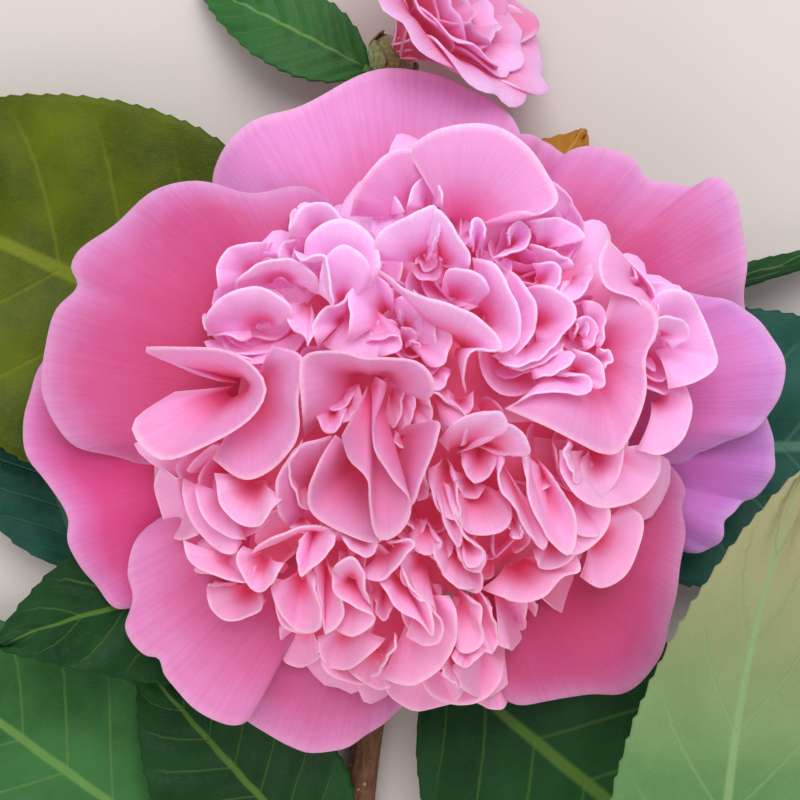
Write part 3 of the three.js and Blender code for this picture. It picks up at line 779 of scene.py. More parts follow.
class Cover:
    """How high the large petals stand over each place, so that the small ones can be kept below them."""

    def __init__(self):
        n = int(2 * COVER_HALF / COVER_CELL)
        self.height = np.full((n, n), np.inf)

    def cell(self, points):
        at = ((points[..., :2] + COVER_HALF) / COVER_CELL).astype(int)
        return tuple(np.clip(np.moveaxis(at, -1, 0), 0, len(self.height) - 1))

    def take(self, points):
        """Adds a petal's grid: its lowest point in and next to each cell, read six times along each side."""
        low = np.full(self.height.shape, np.inf)
        share = np.linspace(0, 1, 6)
        for a in share:
            row = points[:-1] * (1 - a) + points[1:] * a
            for b in share:
                spots = row[:, :-1] * (1 - b) + row[:, 1:] * b
                np.minimum.at(low, self.cell(spots), spots[..., 2])
        for axis in (0, 1):
            low = np.minimum.reduce([np.roll(low, k, axis) for k in (-1, 0, 1)])
        higher = np.where(np.isinf(low), self.height, np.maximum(self.height, low))
        self.height = np.where(np.isinf(self.height), low, higher)

    def excess(self, points):
        """How far the points reach above what they have to stay under."""
        return (points[..., 2] - self.height[self.cell(points)] + UNDER_COVER).clip(min=0, max=99).max()


# Swells that bend all small petals alike, so that they wave without cutting through each other:
# wave vector in 1/mm, direction and height in mm
SWELLS = [
    (dice.normal(size=3) * 0.3, unit(dice.normal(size=3)), 0.3 + 0.4 * dice.random()) for _ in range(5)
]


def crumpled(points):
    moved = points.copy()
    for wave, way, height in SWELLS:
        moved = moved + height * np.sin(points @ wave)[..., None] * way
    return moved


def drape(heap, azimuth, share, width, lean, steps):
    """A petal that lies over the dome like a roof tile, its rounded tip pointing out and down."""
    chance = dice.random(7)
    reach = heart_reach(azimuth) * share * (0.97 + 0.07 * chance[0])
    tip, normal = heart_surface(*polar(azimuth, reach, 0)[:2])
    normal = unit(normal + polar(azimuth, 0.05 + 0.5 * (1 - share), 0.25))
    outward = unit(polar(azimuth + 16 * (chance[1] - 0.5), 1, 0))
    outward = unit(outward - (outward @ normal) * normal)
    length = 17 + 5 * chance[2]
    tip = tip + normal * (0.9 * chance[3] - 0.4)
    spine = Spine(
        tip - outward * 0.9 * length - normal * 0.8 * length,
        tip - outward * 0.66 * length - normal * 0.32 * length,
        tip - outward * 0.34 * length + normal * (0.1 * chance[4] - 0.02) * length,
        tip,
    )
    side = np.cross(outward, normal)
    lean = math.radians(lean + 5 * (chance[5] - 0.5))
    grid = sheet(
        spine,
        unit(normal * math.cos(lean) + side * math.sin(lean)),
        width * (0.8 + 0.45 * chance[6]),
        petal_width(0.5, 0.6),
        steps,
        round_end=0.4,
        notch=0.07 * (chance[0] > 0.6),
        cup=0.05,
        flare=-0.03 - 0.08 * chance[4],
        ruffle=0.3,
        waves=2 + int(1.9 * chance[2]),
        phase=6.3 * chance[5],
    )
    tuck(heap, grid, 0.2 + 0.6 * chance[6])


def painted_light_paleness(points, paleness):
    """Painted light and shade: the heart's petals are made paler towards its outside and its upper half,
    where more light reaches them, and deeper in its middle, which lies in shade.
    """
    x, y, _ = points.mean(axis=(0, 1))
    above = min(1, max(0, 0.5 + y / 12))  # from 0 to 1 within 6 mm of the middle
    return paleness + PAINTED_LIGHT_OUTSIDE * (heart_share(x, y) - 0.5) + PAINTED_LIGHT_ABOVE * above


def tuck(heap, grid, paleness):
    """Adds a small petal, sunk under the large ones that it would reach through."""
    points, s, v = grid
    points = crumpled(points)
    sink = cover.excess(points)
    if sink < MOST_SUNK:
        heap.blade((points - UP * sink, s, v), HEART_THICKNESS, painted_light_paleness(points, paleness))


# rows of drapes: share of the heart's reach, number round a full circle, width, first and last azimuth
DRAPE_ROWS = [
    (1.0, 34, 12, 0, 360),
    (0.94, 34, 12, 0, 360),
    (0.87, 32, 12, 0, 360),
    (0.79, 30, 12, 175, 375),
    (0.7, 26, 11, 185, 340),
]


def drapes(heap, steps):
    for row, (share, count, width, first, last) in enumerate(DRAPE_ROWS):
        for j in range(round(count * (last - first) / 360)):
            azimuth = first + 360 * (j + 0.5 * (row % 2) + 0.35 * (dice.random() - 0.5)) / count
            drape(heap, azimuth, share, width, 18 if azimuth < 255 else -18, steps)


# Whorls: middle x, y on the dome, radius, number of petals, the way the petals lie from the middle and how
# far they spread to its sides, depth of the hollow in the middle
WHORLS = [
    (-11.7, 22.4, 11, 21, 0, 180, 3),
    (-21.5, 16.4, 10, 17, 170, 120, 2),
    (-1.4, 11.8, 11, 24, 0, 180, 6),
    (6.0, 21.0, 9, 14, 325, 180, 3),
    (2.0, 28.0, 9, 15, 80, 130, 2),
    (16.5, 25.3, 9, 17, 30, 180, 2),
    (23.3, 13.2, 9, 18, 0, 180, 6),
    (14.0, 11.0, 8, 14, 0, 180, 4),
    (-11.0, 5.2, 7, 12, 0, 180, 4),
    (11.5, -16.0, 11, 24, 0, 180, 6),
    (7.5, -1.0, 9, 15, 0, 180, 1),
    (2.5, -11.5, 9, 15, 250, 150, 3),
    (22.9, -4.0, 11, 17, 285, 110, 3),
    (-3.1, -19.0, 10, 17, 260, 130, 3),
    (-15.7, -18.1, 10, 17, 230, 130, 3),
    (33.0, 10.0, 9, 14, 10, 120, 2),
    (-27.0, -8.0, 9, 14, 200, 120, 2),
]
GOLDEN_ANGLE = 137.5


def whorl(heap, number, steps):
    """Nested shells round a hollow: the inner ones stand and close in, the outer ones open and lie back."""
    x, y, radius, count, towards, opening, depth = WHORLS[number]
    middle, normal = heart_surface(x, y)
    axis = unit(normal + 2.2 * UP)
    first = unit(np.cross(np.array([0, 1.0, 0]), axis))
    second = np.cross(axis, first)
    for i in range(count):
        chance = dice.random(8)
        outer = ((i + 0.6) / count) ** 0.6
        rho = radius * outer
        turn = (i * GOLDEN_ANGLE / 180 * opening + 14 * (chance[0] - 0.5)) % (2 * opening) - opening
        angle = math.radians(towards + turn)
        spoke = first * math.cos(angle) + second * math.sin(angle)
        sideways = np.cross(axis, spoke)
        rise = 1.2 * (chance[1] - 0.5) - depth * (1 - outer) ** 1.6 - 1.5 * max(0, outer - 0.7)
        tip = middle + spoke * rho + axis * rise
        curl = math.radians(-12 + 56 * outer + 8 * (chance[2] - 0.5))
        last = axis * math.cos(curl) + spoke * math.sin(curl)
        base = middle + spoke * 0.4 * rho - axis * (13 - 2 * outer)
        length = np.linalg.norm(tip - base)
        skew = math.radians(4 + 6 * (chance[3] - 0.5))
        grid = sheet(
            Spine(base, base + axis * 0.45 * length, tip - last * 0.42 * length, tip),
            -spoke * math.cos(skew) + sideways * math.sin(skew),
            (4.5 + 0.9 * rho) * (0.85 + 0.4 * chance[4]),
            petal_width(0.55, 0.6),
            steps,
            round_end=0.4,
            notch=0.07 * (chance[5] > 0.65),
            cup=0.9 / (rho + 0.8),
            flare=-0.2 / (rho + 0.8),
            ruffle=0.1 + 0.2 * outer,
            waves=2 + int(1.9 * chance[6]),
            phase=6.3 * chance[7],
        )
        tuck(heap, grid, 0.2 + 0.6 * chance[4])


# The large petals of the heart: paleness, where each springs from, and places that its rim runs through, all
# as pixels x, y and a height over the bloom's foot
LARGE_PETALS = [
    (0.2, (455, 235, 28), [(405, 148, 36), (440, 130, 36), (490, 126, 36), (525, 145, 36), (548, 175, 36),
        (560, 200, 36), (545, 209, 37), (505, 215, 38)]),
    (0.2, (420, 225, 24), [(350, 215, 33), (358, 190, 34), (385, 155, 34), (410, 147, 34), (450, 170, 33)]),
    (0.1, (246, 384, 24), [(200, 377, 33), (142, 350, 34), (182, 344, 37), (221, 347, 40), (252, 364, 42),
        (265, 388, 43), (256, 415, 42), (212, 438, 40), (158, 461, 36), (131, 425, 34), (172, 392, 32)]),
    (0.2, (258, 385, 26), [(212, 462, 36), (245, 479, 38), (272, 470, 39), (298, 438, 41), (302, 400, 43),
        (302, 356, 44), (270, 345, 42)]),
    (0.25, (368, 378, 30), [(306, 440, 38), (301, 405, 43), (302, 355, 46), (342, 353, 48), (367, 361, 48),
        (415, 362, 49), (434, 373, 49), (435, 388, 48), (427, 400, 46), (398, 384, 43)]),
    (0.1, (372, 375, 40), [(342, 437, 45), (352, 462, 46), (367, 478, 47), (375, 515, 46), (382, 541, 45),
        (400, 531, 45), (413, 505, 46), (391, 476, 48), (374, 447, 48), (388, 384, 46)]),
    (0.15, (388, 445, 30), [(398, 432, 38), (439, 424, 48), (437, 440, 49), (428, 470, 48), (413, 505, 46),
        (395, 500, 42)]),
    (0.15, (360, 450, 30), [(335, 437, 42), (318, 460, 43), (308, 485, 43), (313, 512, 42), (340, 530, 42),
        (379, 541, 42), (372, 490, 38)]),
    (0.1, (330, 480, 27), [(333, 435, 41), (305, 445, 41), (285, 462, 40), (275, 485, 39), (277, 512, 38),
        (290, 530, 37)]),
    (0.05, (585, 354, 25), [(507, 409, 43), (540, 424, 42), (578, 441, 40), (603, 452, 38), (617, 453, 37),
        (635, 424, 37), (646, 390, 36), (647, 357, 36), (657, 331, 36), (653, 309, 35.5), (639, 298, 35.5),
        (613, 294, 36)]),
    (0.5, (640, 285, 22), [(611, 233, 33), (600, 262, 35), (606, 288, 36), (635, 300, 35), (657, 318, 33),
        (652, 290, 31), (632, 255, 30)]),
    (0.6, (548, 470, 26), [(525, 455, 40), (530, 490, 39), (548, 530, 37), (573, 554, 34), (605, 535, 33),
        (612, 510, 34), (590, 480, 37)]),
    (0.7, (305, 530, 28), [(251, 555, 36), (258, 545, 37), (300, 530, 39), (338, 528, 40), (322, 555, 38),
        (301, 577, 36), (296, 552, 36)]),
    (1, (425, 262, 34), [(372, 262, 42), (376, 236, 44), (395, 220, 45), (420, 210, 46), (437, 204, 46),
        (440, 228, 46), (432, 255, 44)]),
    (0.5, (440, 262, 34), [(432, 240, 44), (436, 208, 47), (452, 224, 47), (468, 252, 46), (471, 268, 45),
        (452, 272, 43)]),
    (0.5, (450, 300, 34), [(442, 290, 43), (446, 272, 45), (465, 266, 46), (484, 280, 46), (489, 296, 45),
        (476, 304, 43)]),
    (0.9, (478, 318, 32), [(472, 258, 44), (492, 264, 46), (510, 284, 46), (520, 310, 46), (519, 338, 45),
        (505, 352, 44), (488, 345, 42)]),
    (0.5, (492, 325, 30), [(508, 270, 42), (526, 282, 43), (537, 308, 43), (534, 335, 42), (518, 356, 41),
        (500, 362, 40)]),
    (0.5, (530, 325, 28), [(524, 290, 39), (545, 284, 41), (568, 300, 41), (576, 318, 40), (562, 338, 39),
        (538, 345, 38)]),
    (0.5, (520, 345, 28), [(494, 356, 39), (508, 368, 40), (532, 368, 40), (556, 356, 39), (566, 342, 38)]),
    (0.5, (455, 350, 34), [(372, 268, 44), (398, 282, 46), (425, 296, 47), (455, 306, 48), (480, 318, 48),
        (500, 350, 47), (474, 352, 46), (466, 378, 44), (468, 396, 43)]),
    (1.2, (650, 340, 22), [(648, 310, 33), (660, 294, 33), (684, 290, 31), (703, 312, 29), (716, 345, 28),
        (717, 362, 28), (700, 380, 30), (672, 388, 32)]),
    (0.9, (655, 390, 22), [(690, 385, 28), (694, 410, 28), (684, 440, 29), (664, 456, 31), (640, 452, 33)]),
    (1, (655, 335, 26), [(650, 350, 33), (652, 325, 34), (668, 315, 34), (686, 322, 32), (690, 338, 31),
        (676, 350, 32)]),
    (0.9, (332, 301, 32), [(305, 273, 39), (305, 242, 40), (323, 223, 41), (346, 219, 42), (369, 234, 42.5),
        (381, 261, 42.5), (373, 284, 42)]),
    (0.7, (343, 312, 33), [(323, 288, 41), (323, 261, 42), (342, 245, 43), (365, 257, 43),
        (373, 280, 42.5)]),
    (0.5, (280, 280, 28), [(236, 296, 35), (238, 276, 37), (262, 262, 39), (295, 262, 40), (316, 274, 40),
        (318, 292, 39)]),
    (0.5, (265, 325, 28), [(206, 338, 33), (205, 314, 34), (230, 294, 37), (262, 290, 38), (288, 302, 39),
        (292, 326, 38)]),
    (0.5, (260, 275, 24), [(218, 296, 31), (217, 262, 32), (236, 244, 33), (264, 242, 34)]),
    (0.5, (320, 240, 28), [(288, 240, 36), (299, 209, 36), (320, 204, 37), (342, 216, 38), (348, 234, 38)]),
    (1.1, (322, 262, 36), [(291, 250, 42), (300, 262, 43), (326, 258, 44), (332, 284, 44), (330, 305, 43),
        (318, 290, 42)]),
    (0.5, (305, 575, 24), [(271, 580, 33), (272, 602, 31), (286, 626, 29), (306, 634, 28), (320, 628, 29),
        (324, 600, 31), (316, 572, 34)]),
    (0.5, (350, 560, 26), [(330, 575, 36), (336, 600, 34), (350, 628, 31), (364, 637, 30), (376, 622, 31),
        (374, 595, 34), (368, 570, 36)]),
    (0.5, (420, 570, 26), [(398, 590, 36), (402, 615, 33), (416, 640, 30), (434, 640, 30), (444, 620, 31),
        (440, 590, 35)]),
    (0.5, (470, 590, 24), [(452, 600, 34), (458, 630, 31), (470, 652, 28), (486, 650, 28), (494, 628, 29),
        (488, 600, 33)]),
    (0.5, (460, 640, 18), [(418, 672, 26), (430, 692, 24), (455, 704, 22), (482, 700, 22), (500, 684, 23),
        (508, 660, 25)]),
    (0.5, (350, 640, 18), [(318, 655, 27), (325, 672, 26), (350, 684, 24), (378, 682, 24), (395, 668, 26)]),
    (0.5, (250, 560, 24), [(182, 545, 32), (190, 562, 31), (215, 576, 31), (243, 582, 32), (258, 566, 34)]),
    (0.5, (260, 580, 20), [(207, 590, 27), (210, 606, 26), (226, 620, 25), (250, 618, 26), (268, 604, 29)]),
    (0.5, (450, 455, 34), [(441, 440, 43), (450, 424, 45), (472, 416, 46), (500, 410, 46), (508, 428, 45),
        (480, 440, 44)]),
    (0.5, (470, 440, 35), [(462, 446, 43), (470, 424, 45), (508, 420, 45), (527, 436, 44), (529, 455, 43),
        (500, 456, 43)]),
    (0.5, (480, 440, 33), [(460, 450, 41), (464, 470, 41), (476, 484, 40), (490, 474, 41), (502, 455, 42)]),
    (0.5, (445, 455, 32), [(430, 470, 42), (430, 490, 42), (447, 520, 41), (458, 518, 41), (461, 495, 41),
        (454, 470, 42)]),
    (0.5, (465, 475, 30), [(446, 484, 40), (452, 510, 41), (470, 534, 40), (500, 531, 39), (512, 522, 39),
        (508, 495, 39)]),
    (0.5, (450, 530, 28), [(432, 540, 39), (440, 570, 38), (462, 589, 36), (480, 592, 35), (480, 575, 36),
        (462, 545, 38)]),
    (0.5, (510, 560, 24), [(484, 590, 34), (518, 600, 33), (542, 596, 32), (562, 578, 32), (579, 570, 32),
        (576, 550, 33)]),
    (0.7, (590, 530, 20), [(582, 578, 27), (600, 588, 26), (624, 576, 25), (640, 550, 25), (642, 522, 26),
        (628, 505, 28)]),
    (0.5, (585, 490, 26), [(566, 515, 36), (574, 534, 35), (600, 537, 33), (612, 518, 33), (608, 500, 34)]),
    (0.5, (300, 470, 30), [(300, 440, 41), (292, 455, 41), (290, 480, 39), (300, 505, 38), (318, 515, 38)]),
]
# The petals between them: paleness, height of the rim over the heart's dome, foot, and places that the rim
# runs through, as pixels x, y
SHELL_PETALS = [
    (0.5, -1, (455, 545), [(433, 540), (435, 557), (443, 573), (460, 587), (478, 592)]),
    (0.6, -1.5, (462, 530), [(453, 537), (460, 550), (467, 570), (480, 572), (483, 557), (473, 540)]),
    (0.5, -1, (440, 478), [(433, 482), (441, 510), (448, 537), (458, 550), (460, 533), (452, 513),
        (450, 490)]),
    (0.5, -1, (425, 560), [(400, 550), (403, 580), (420, 597), (433, 610), (440, 630)]),
    (0.6, -2, (425, 520), [(412, 537), (417, 552), (430, 555), (440, 547), (433, 533)]),
    (0.4, -2.5, (425, 262), [(412, 262), (412, 272), (420, 282), (432, 282), (440, 272), (440, 260)]),
    (0.4, -2, (428, 255), [(418, 250), (418, 262), (426, 270), (436, 266), (440, 254)]),
    (0.5, -3, (406, 439), [(394, 430), (396, 444), (406, 452), (416, 446), (420, 434)]),
    (0.5, -3.5, (406, 470), [(394, 458), (394, 472), (402, 484), (414, 482), (418, 468)]),
    (0.5, -3, (470, 515), [(460, 505), (462, 518), (472, 526), (484, 522), (486, 508)]),
    (0.5, -3, (460, 401), [(448, 388), (450, 402), (460, 412), (472, 408), (476, 394)]),
    (0.6, -3, (345, 547), [(322, 536), (330, 530), (342, 532), (352, 540), (358, 552), (350, 562)]),
    (0.5, -4, (353, 562), [(338, 548), (340, 562), (348, 574), (358, 578), (366, 568), (368, 554)]),
    (0.6, -3.5, (371, 562), [(362, 545), (372, 540), (384, 546), (390, 558), (386, 570)]),
    (0.5, -4, (398, 548), [(388, 528), (392, 542), (400, 552), (412, 552), (418, 540)]),
    (0.6, -4, (413, 522), [(404, 502), (404, 516), (410, 528), (420, 532), (428, 522)]),
    (0.5, -3.5, (414, 481), [(404, 470), (414, 466), (424, 474), (430, 488), (426, 500), (416, 504)]),
    (0.5, -4, (469, 562), [(458, 548), (462, 560), (472, 568), (484, 566), (490, 554)]),
    (0.6, -4, (300, 521), [(284, 508), (286, 522), (294, 532), (306, 534), (314, 524)]),
    (0.6, -4, (471, 481), [(456, 470), (456, 484), (464, 496), (476, 498), (484, 488)]),
    (0.5, -4, (522, 521), [(506, 508), (508, 522), (516, 534), (528, 534), (534, 522)]),
    (0.7, -4, (541, 479), [(528, 466), (528, 480), (536, 490), (548, 490), (556, 480)]),
    (0.6, -4, (602, 470), [(588, 458), (586, 472), (592, 484), (604, 488), (612, 478)]),
    (0.5, -3, (360, 300), [(322, 345), (326, 350), (354, 357), (385, 356), (399, 347), (400, 333),
        (394, 322)]),
    (0.8, -3.5, (404, 345), [(396, 334), (398, 328), (405, 325), (415, 330), (419, 337), (414, 343)]),
    (0.7, -3.5, (407, 340), [(406, 347), (411, 342), (418, 345), (423, 352), (424, 361)]),
    (0.5, -2.5, (406, 334), [(398, 322), (400, 311), (409, 305), (417, 311), (420, 323), (422, 334),
        (428, 341)]),
    (0.5, -1, (408, 330), [(413, 289), (425, 299), (436, 312), (446, 326), (451, 340), (450, 353),
        (444, 364), (434, 368), (424, 360)]),
    (0.6, -1.5, (405, 335), [(392, 300), (405, 294), (420, 303), (433, 320), (438, 336), (436, 352)]),
    (0.7, -4, (391, 340), [(374, 345), (370, 333), (378, 322), (390, 320), (398, 326)]),
    (0.5, -2, (430, 365), [(424, 372), (428, 384), (436, 390), (445, 388), (450, 378), (452, 366)]),
    (0.7, -3, (392, 385), [(383, 378), (390, 377), (400, 383), (404, 395), (404, 408), (400, 419),
        (391, 427), (383, 422)]),
    (0.6, -4, (398, 390), [(404, 380), (410, 388), (415, 402), (414, 418), (406, 429), (395, 434)]),
    (0.4, -2.5, (430, 375), [(424, 395), (434, 394), (448, 400), (460, 410), (466, 420), (458, 430),
        (446, 432)]),
    (0.5, -4, (410, 401), [(418, 392), (428, 398), (432, 412), (428, 424), (416, 432)]),
    (0.6, -4.5, (340, 395), [(322, 385), (322, 398), (330, 410), (342, 408), (352, 396), (356, 384)]),
    (0.7, -3.5, (335, 410), [(318, 402), (318, 416), (324, 430), (334, 432), (342, 420), (346, 408)]),
    (0.8, -3, (345, 405), [(340, 425), (350, 420), (358, 408), (362, 396), (360, 386)]),
    (0.5, -3, (440, 530), [(425, 540), (428, 555), (438, 562), (450, 556), (455, 542)]),
    (0.5, -3, (383, 591), [(372, 592), (376, 606), (384, 622), (392, 616), (394, 600)]),
    (0.5, -2, (592, 333), [(583, 300), (592, 300), (602, 308), (606, 322), (604, 338), (598, 352)]),
    (0.6, -3, (585, 335), [(577, 322), (584, 314), (594, 318), (598, 330), (594, 344), (584, 352)]),
    (0.7, -4, (581, 329), [(574, 340), (574, 326), (582, 320), (590, 330), (588, 342)]),
    (0.6, 0, (598, 452), [(562, 452), (560.5, 470), (566, 485), (579, 498), (598, 507), (621, 507),
        (646, 494), (661, 475), (663, 456), (662, 443)]),
    (0.5, -1, (600, 450), [(628, 435), (622, 462), (617, 479), (604, 496), (590, 500), (578, 488),
        (574, 466)]),
    (0.6, 0.5, (578, 450), [(569, 441), (567, 456), (573, 477), (580, 485), (586, 484)]),
    (0.5, 1, (500, 450), [(504, 458), (497, 485), (510, 505), (523, 523), (535, 540), (546, 551),
        (548, 535)]),
    (0.6, 0.5, (535, 455), [(524, 458), (528, 488), (537, 519), (550, 538), (567, 555), (577, 546),
        (576, 530), (570, 508), (556, 480)]),
    (0.3, -1, (560, 535), [(535, 553), (539, 565), (554, 569), (571, 563), (588, 538)]),
    (0.5, 0.5, (465, 535), [(462, 524), (472, 540), (481, 554), (479, 568), (467, 568), (462, 552)]),
    (0.5, 0, (517, 520), [(511, 536), (515, 541), (522, 533), (523, 521)]),
    (0.8, 0, (420, 600), [(450, 595), (457, 616), (459, 634), (455, 648), (445, 662), (430, 677),
        (411, 687), (383, 681)]),
    (0.7, 0, (455, 590), [(469, 598), (479, 611), (484, 626), (483, 642), (475, 651), (466, 653),
        (456, 649)]),
    (0.6, -0.5, (475, 590), [(486, 601), (495, 614), (497, 627), (495, 647), (491, 654), (483, 651)]),
    (0.8, -0.5, (498, 590), [(508, 601), (526, 603), (528, 617), (525, 635), (517, 649), (508, 650),
        (499, 647)]),
    (0.8, -1, (522, 600), [(535, 601), (536, 621), (535, 652), (532, 671), (521, 670), (525, 648)]),
    (0.9, 0, (485, 640), [(525, 647), (515, 667), (509, 682), (496, 695), (481, 698), (466, 690),
        (453, 672)]),
    (0.5, 0.5, (470, 640), [(450, 654), (456, 665), (465, 668), (476, 662), (487, 652)]),
    (0.6, 0.3, (455, 655), [(443, 667), (450, 681), (461, 689), (468, 684)]),
    (0.7, 0, (430, 670), [(383, 685), (395, 703), (415, 710), (441, 709), (457, 702), (464, 692)]),
    (0.4, -1.5, (495, 680), [(476, 703), (487, 710), (501, 710), (514, 697)]),
    (0.7, 1.2, (420, 600), [(401, 561), (407, 585), (418, 597), (430, 606), (440, 614), (445, 624),
        (444, 632), (438, 642), (430, 647), (421, 648), (405, 640)]),
    (0.9, 2, (400, 580), [(377, 581), (395, 605), (421, 622), (434, 636), (436, 628), (430, 610),
        (412, 590)]),
    (0.6, -1, (200, 500), [(159, 466), (153, 487), (158, 505), (170, 532), (187, 540), (200, 535)]),
    (0.8, 0, (225, 500), [(181, 480), (181, 495), (189, 520), (211, 544), (232, 556), (244, 544)]),
    (0.8, 0.5, (230, 500), [(195, 480), (194, 492), (203, 518), (228, 538), (242, 540)]),
    (0.5, 1, (255, 480), [(213, 470), (214, 482), (219, 505), (238, 524), (260, 524), (272, 512),
        (281, 500)]),
    (0.8, -0.5, (225, 540), [(172, 548), (175, 557), (191, 569), (217, 577), (240, 581), (250, 570)]),
    (0.5, -1, (240, 590), [(215, 583), (208, 594), (213, 612), (228, 620), (246, 618)]),
    (0.6, 1, (265, 560), [(242, 546), (236, 560), (248, 583), (258, 593), (277, 581), (283, 565)]),
    (0.7, 0.5, (300, 575), [(270, 590), (272, 600), (283, 620), (297, 632), (311, 634), (321, 626),
        (320, 604), (311, 573)]),
    (1.1, 2, (315, 525), [(296, 540), (299, 563), (302, 577), (319, 561), (334, 544), (336, 530)]),
    (0.6, 0.2, (325, 560), [(311, 569), (319, 600), (323, 634), (336, 630), (341, 610), (331, 575)]),
    (0.8, 0.8, (352, 580), [(331, 570), (334, 590), (354, 605), (372, 618), (370, 628), (352, 636),
        (336, 634)]),
    (0.5, 1.5, (355, 590), [(333, 575), (338, 561), (354, 556), (362, 573), (374, 609)]),
    (0.6, 1.5, (360, 525), [(338, 530), (352, 550), (366, 559), (377, 545), (378, 532)]),
    (0.6, 1.5, (390, 545), [(357, 580), (379, 581), (395, 569), (414, 543), (385, 544)]),
    (1, 1.2, (400, 640), [(373, 683), (377, 673), (391, 656), (395, 636)]),
    (0.5, -1, (305, 625), [(279, 628), (279, 646), (285, 663), (301, 668), (316, 664), (322, 650)]),
    (0.7, -0.3, (350, 630), [(317, 640), (321, 659), (330, 667), (346, 669), (366, 659), (387, 640)]),
    (0.4, -1.5, (380, 650), [(345, 670), (360, 681), (380, 690), (395, 686)]),
    (0.8, 0.5, (530, 345), [(498, 355), (504, 362), (521, 366), (536, 361), (550, 348), (568, 333)]),
    (0.6, 0, (530, 360), [(557, 348), (573, 351), (575, 357), (572, 363), (557, 373), (536, 380)]),
    (1, 0, (560, 372), [(509, 405), (536, 395), (571, 393), (591, 390), (591, 379), (575, 375),
        (553, 377)]),
    (0.6, -0.5, (575, 372), [(575, 350), (593, 357), (605, 370), (605, 387), (593, 389)]),
    (0.5, 0, (597, 365), [(598, 348), (609, 348), (613, 357), (607, 371)]),
    (0.7, 1, (612, 280), [(614, 266), (628, 259), (629, 268), (616, 277)]),
    (0.7, 0.5, (632, 296), [(616, 272), (627, 275), (643, 282), (646, 297)]),
    (0.8, -1, (655, 305), [(640, 290), (645, 284), (662, 283), (680, 286), (684, 298), (678, 308)]),
    (0.6, 0, (545, 245), [(530, 222), (545, 217), (564, 218), (577, 226), (585, 236), (583, 243)]),
    (0.7, 0.5, (545, 270), [(530, 241), (546, 248), (557, 252), (573, 259), (575, 271)]),
    (0.6, 1, (540, 282), [(535, 262), (553, 262), (563, 275), (556, 290), (545, 292)]),
    (0.8, 0.5, (575, 278), [(591, 261), (593, 275), (589, 289), (573, 300), (561, 296), (566, 282)]),
    (0.8, 1, (477, 250), [(470, 244), (471, 232), (477, 216), (484, 221), (484, 245)]),
    (0.7, 0.5, (515, 245), [(509, 243), (511, 228), (521, 218), (529, 230), (527, 240), (511, 254),
        (493, 258)]),
    (0.9, -0.5, (320, 235), [(287, 232), (290, 218), (294, 209), (305, 203), (318, 205), (331, 210),
        (343, 217)]),
    (0.6, -1, (262, 260), [(233, 262), (235, 251), (238, 244), (251, 242), (270, 242)]),
    (0.8, -0.5, (245, 290), [(219, 300), (218, 284), (219, 276), (226, 269), (241, 270)]),
    (0.7, 0, (300, 255), [(276, 262), (279, 247), (292, 240), (308, 236)]),
    (0.6, 0.5, (262, 310), [(222, 312), (227, 299), (250, 290), (267, 288), (282, 295), (290, 307)]),
    (1, 0, (245, 320), [(203, 312), (204, 323), (211, 333), (230, 339), (244, 342), (254, 338)]),
    (0.6, 0.5, (310, 300), [(288, 303), (286, 317), (292, 328), (305, 336), (309, 348), (313, 340),
        (316, 322)]),
    (0.7, 0.8, (345, 320), [(317, 346), (314, 324), (322, 312), (341, 300), (356, 279), (362, 283)]),
    (0.6, 1, (392, 318), [(345, 340), (349, 318), (351, 293), (362, 277), (374, 272), (385, 279),
        (397, 286)]),
    (0.5, -1.5, (385, 330), [(365, 345), (380, 338), (398, 338), (400, 349), (389, 357), (375, 358)]),
    (0.7, 0, (380, 215), [(358, 213), (361, 198), (373, 189), (386, 186), (398, 196), (404, 211)]),
    (0.8, 0.5, (430, 203), [(405, 212), (410, 194), (421, 179), (436, 177), (444, 190), (442, 205)]),
]
FLAPS = 11  # the first large petals lie open, with an even colour
SHELL_DEPTH = 10  # of a petal's foot below the dome
FUNNEL = 0.16  # how wide a petal is at its foot, as a share of its rim
HEART_DROOP, HEART_WAVES = 3, 0.3


def large_petal(heap, paleness, foot, rim, steps):
    """A petal that rises from its foot and leans out to its rim. The small petals stay below it."""
    along, across = steps
    ends, v = along_rim(rim, across)
    flat, tall = (ends - foot) * [1, 1, 0], (ends - foot) * [0, 0, 1]
    one, two = foot + 0.5 * tall + 0.26 * flat, ends - 0.5 * flat - 0.12 * tall
    controls = (foot + FUNNEL * flat, one, two, ends)
    paleness = painted_light_paleness(ends[None], paleness)
    cover.take(spread(controls, v, along, HEART_WAVES, HEART_DROOP, HEART_THICKNESS, heap, paleness))


def shell_petal(heap, paleness, lift, foot, rim, steps):
    """A petal whose rim keeps its height over the heart's dome."""
    foot = heart_surface(*picked_on_heart(*foot, 0))[0] - UP * SHELL_DEPTH
    rim = [heart_surface(*picked_on_heart(*place, lift))[0] + UP * lift for place in rim]
    large_petal(heap, paleness, foot, rim, steps)


# radius and height from the foot of the heart's core to its top
CORE_PROFILE = [(2, 8.3), (5.5, 8.6), (10, 14), (20, 18), (25, 23), (21, 29), (11, 32), (2, 33)]


def turned_rings(profile, sides):
    """The rings of a body turned about the z axis, whose profile is given as radius and height."""
    radius, height = np.array(profile, float).T[..., None]
    turn = np.linspace(0, 2 * math.pi, sides, endpoint=False)
    return np.stack([radius * np.cos(turn), radius * np.sin(turn), height + 0 * turn], -1)


def heart_core(heap):
    """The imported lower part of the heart, seen only as depth between the petals."""
    heap.tube(turned_rings(CORE_PROFILE, 48), np.full(len(CORE_PROFILE), 0.35), 0.5, 0.0)


cover = Cover()


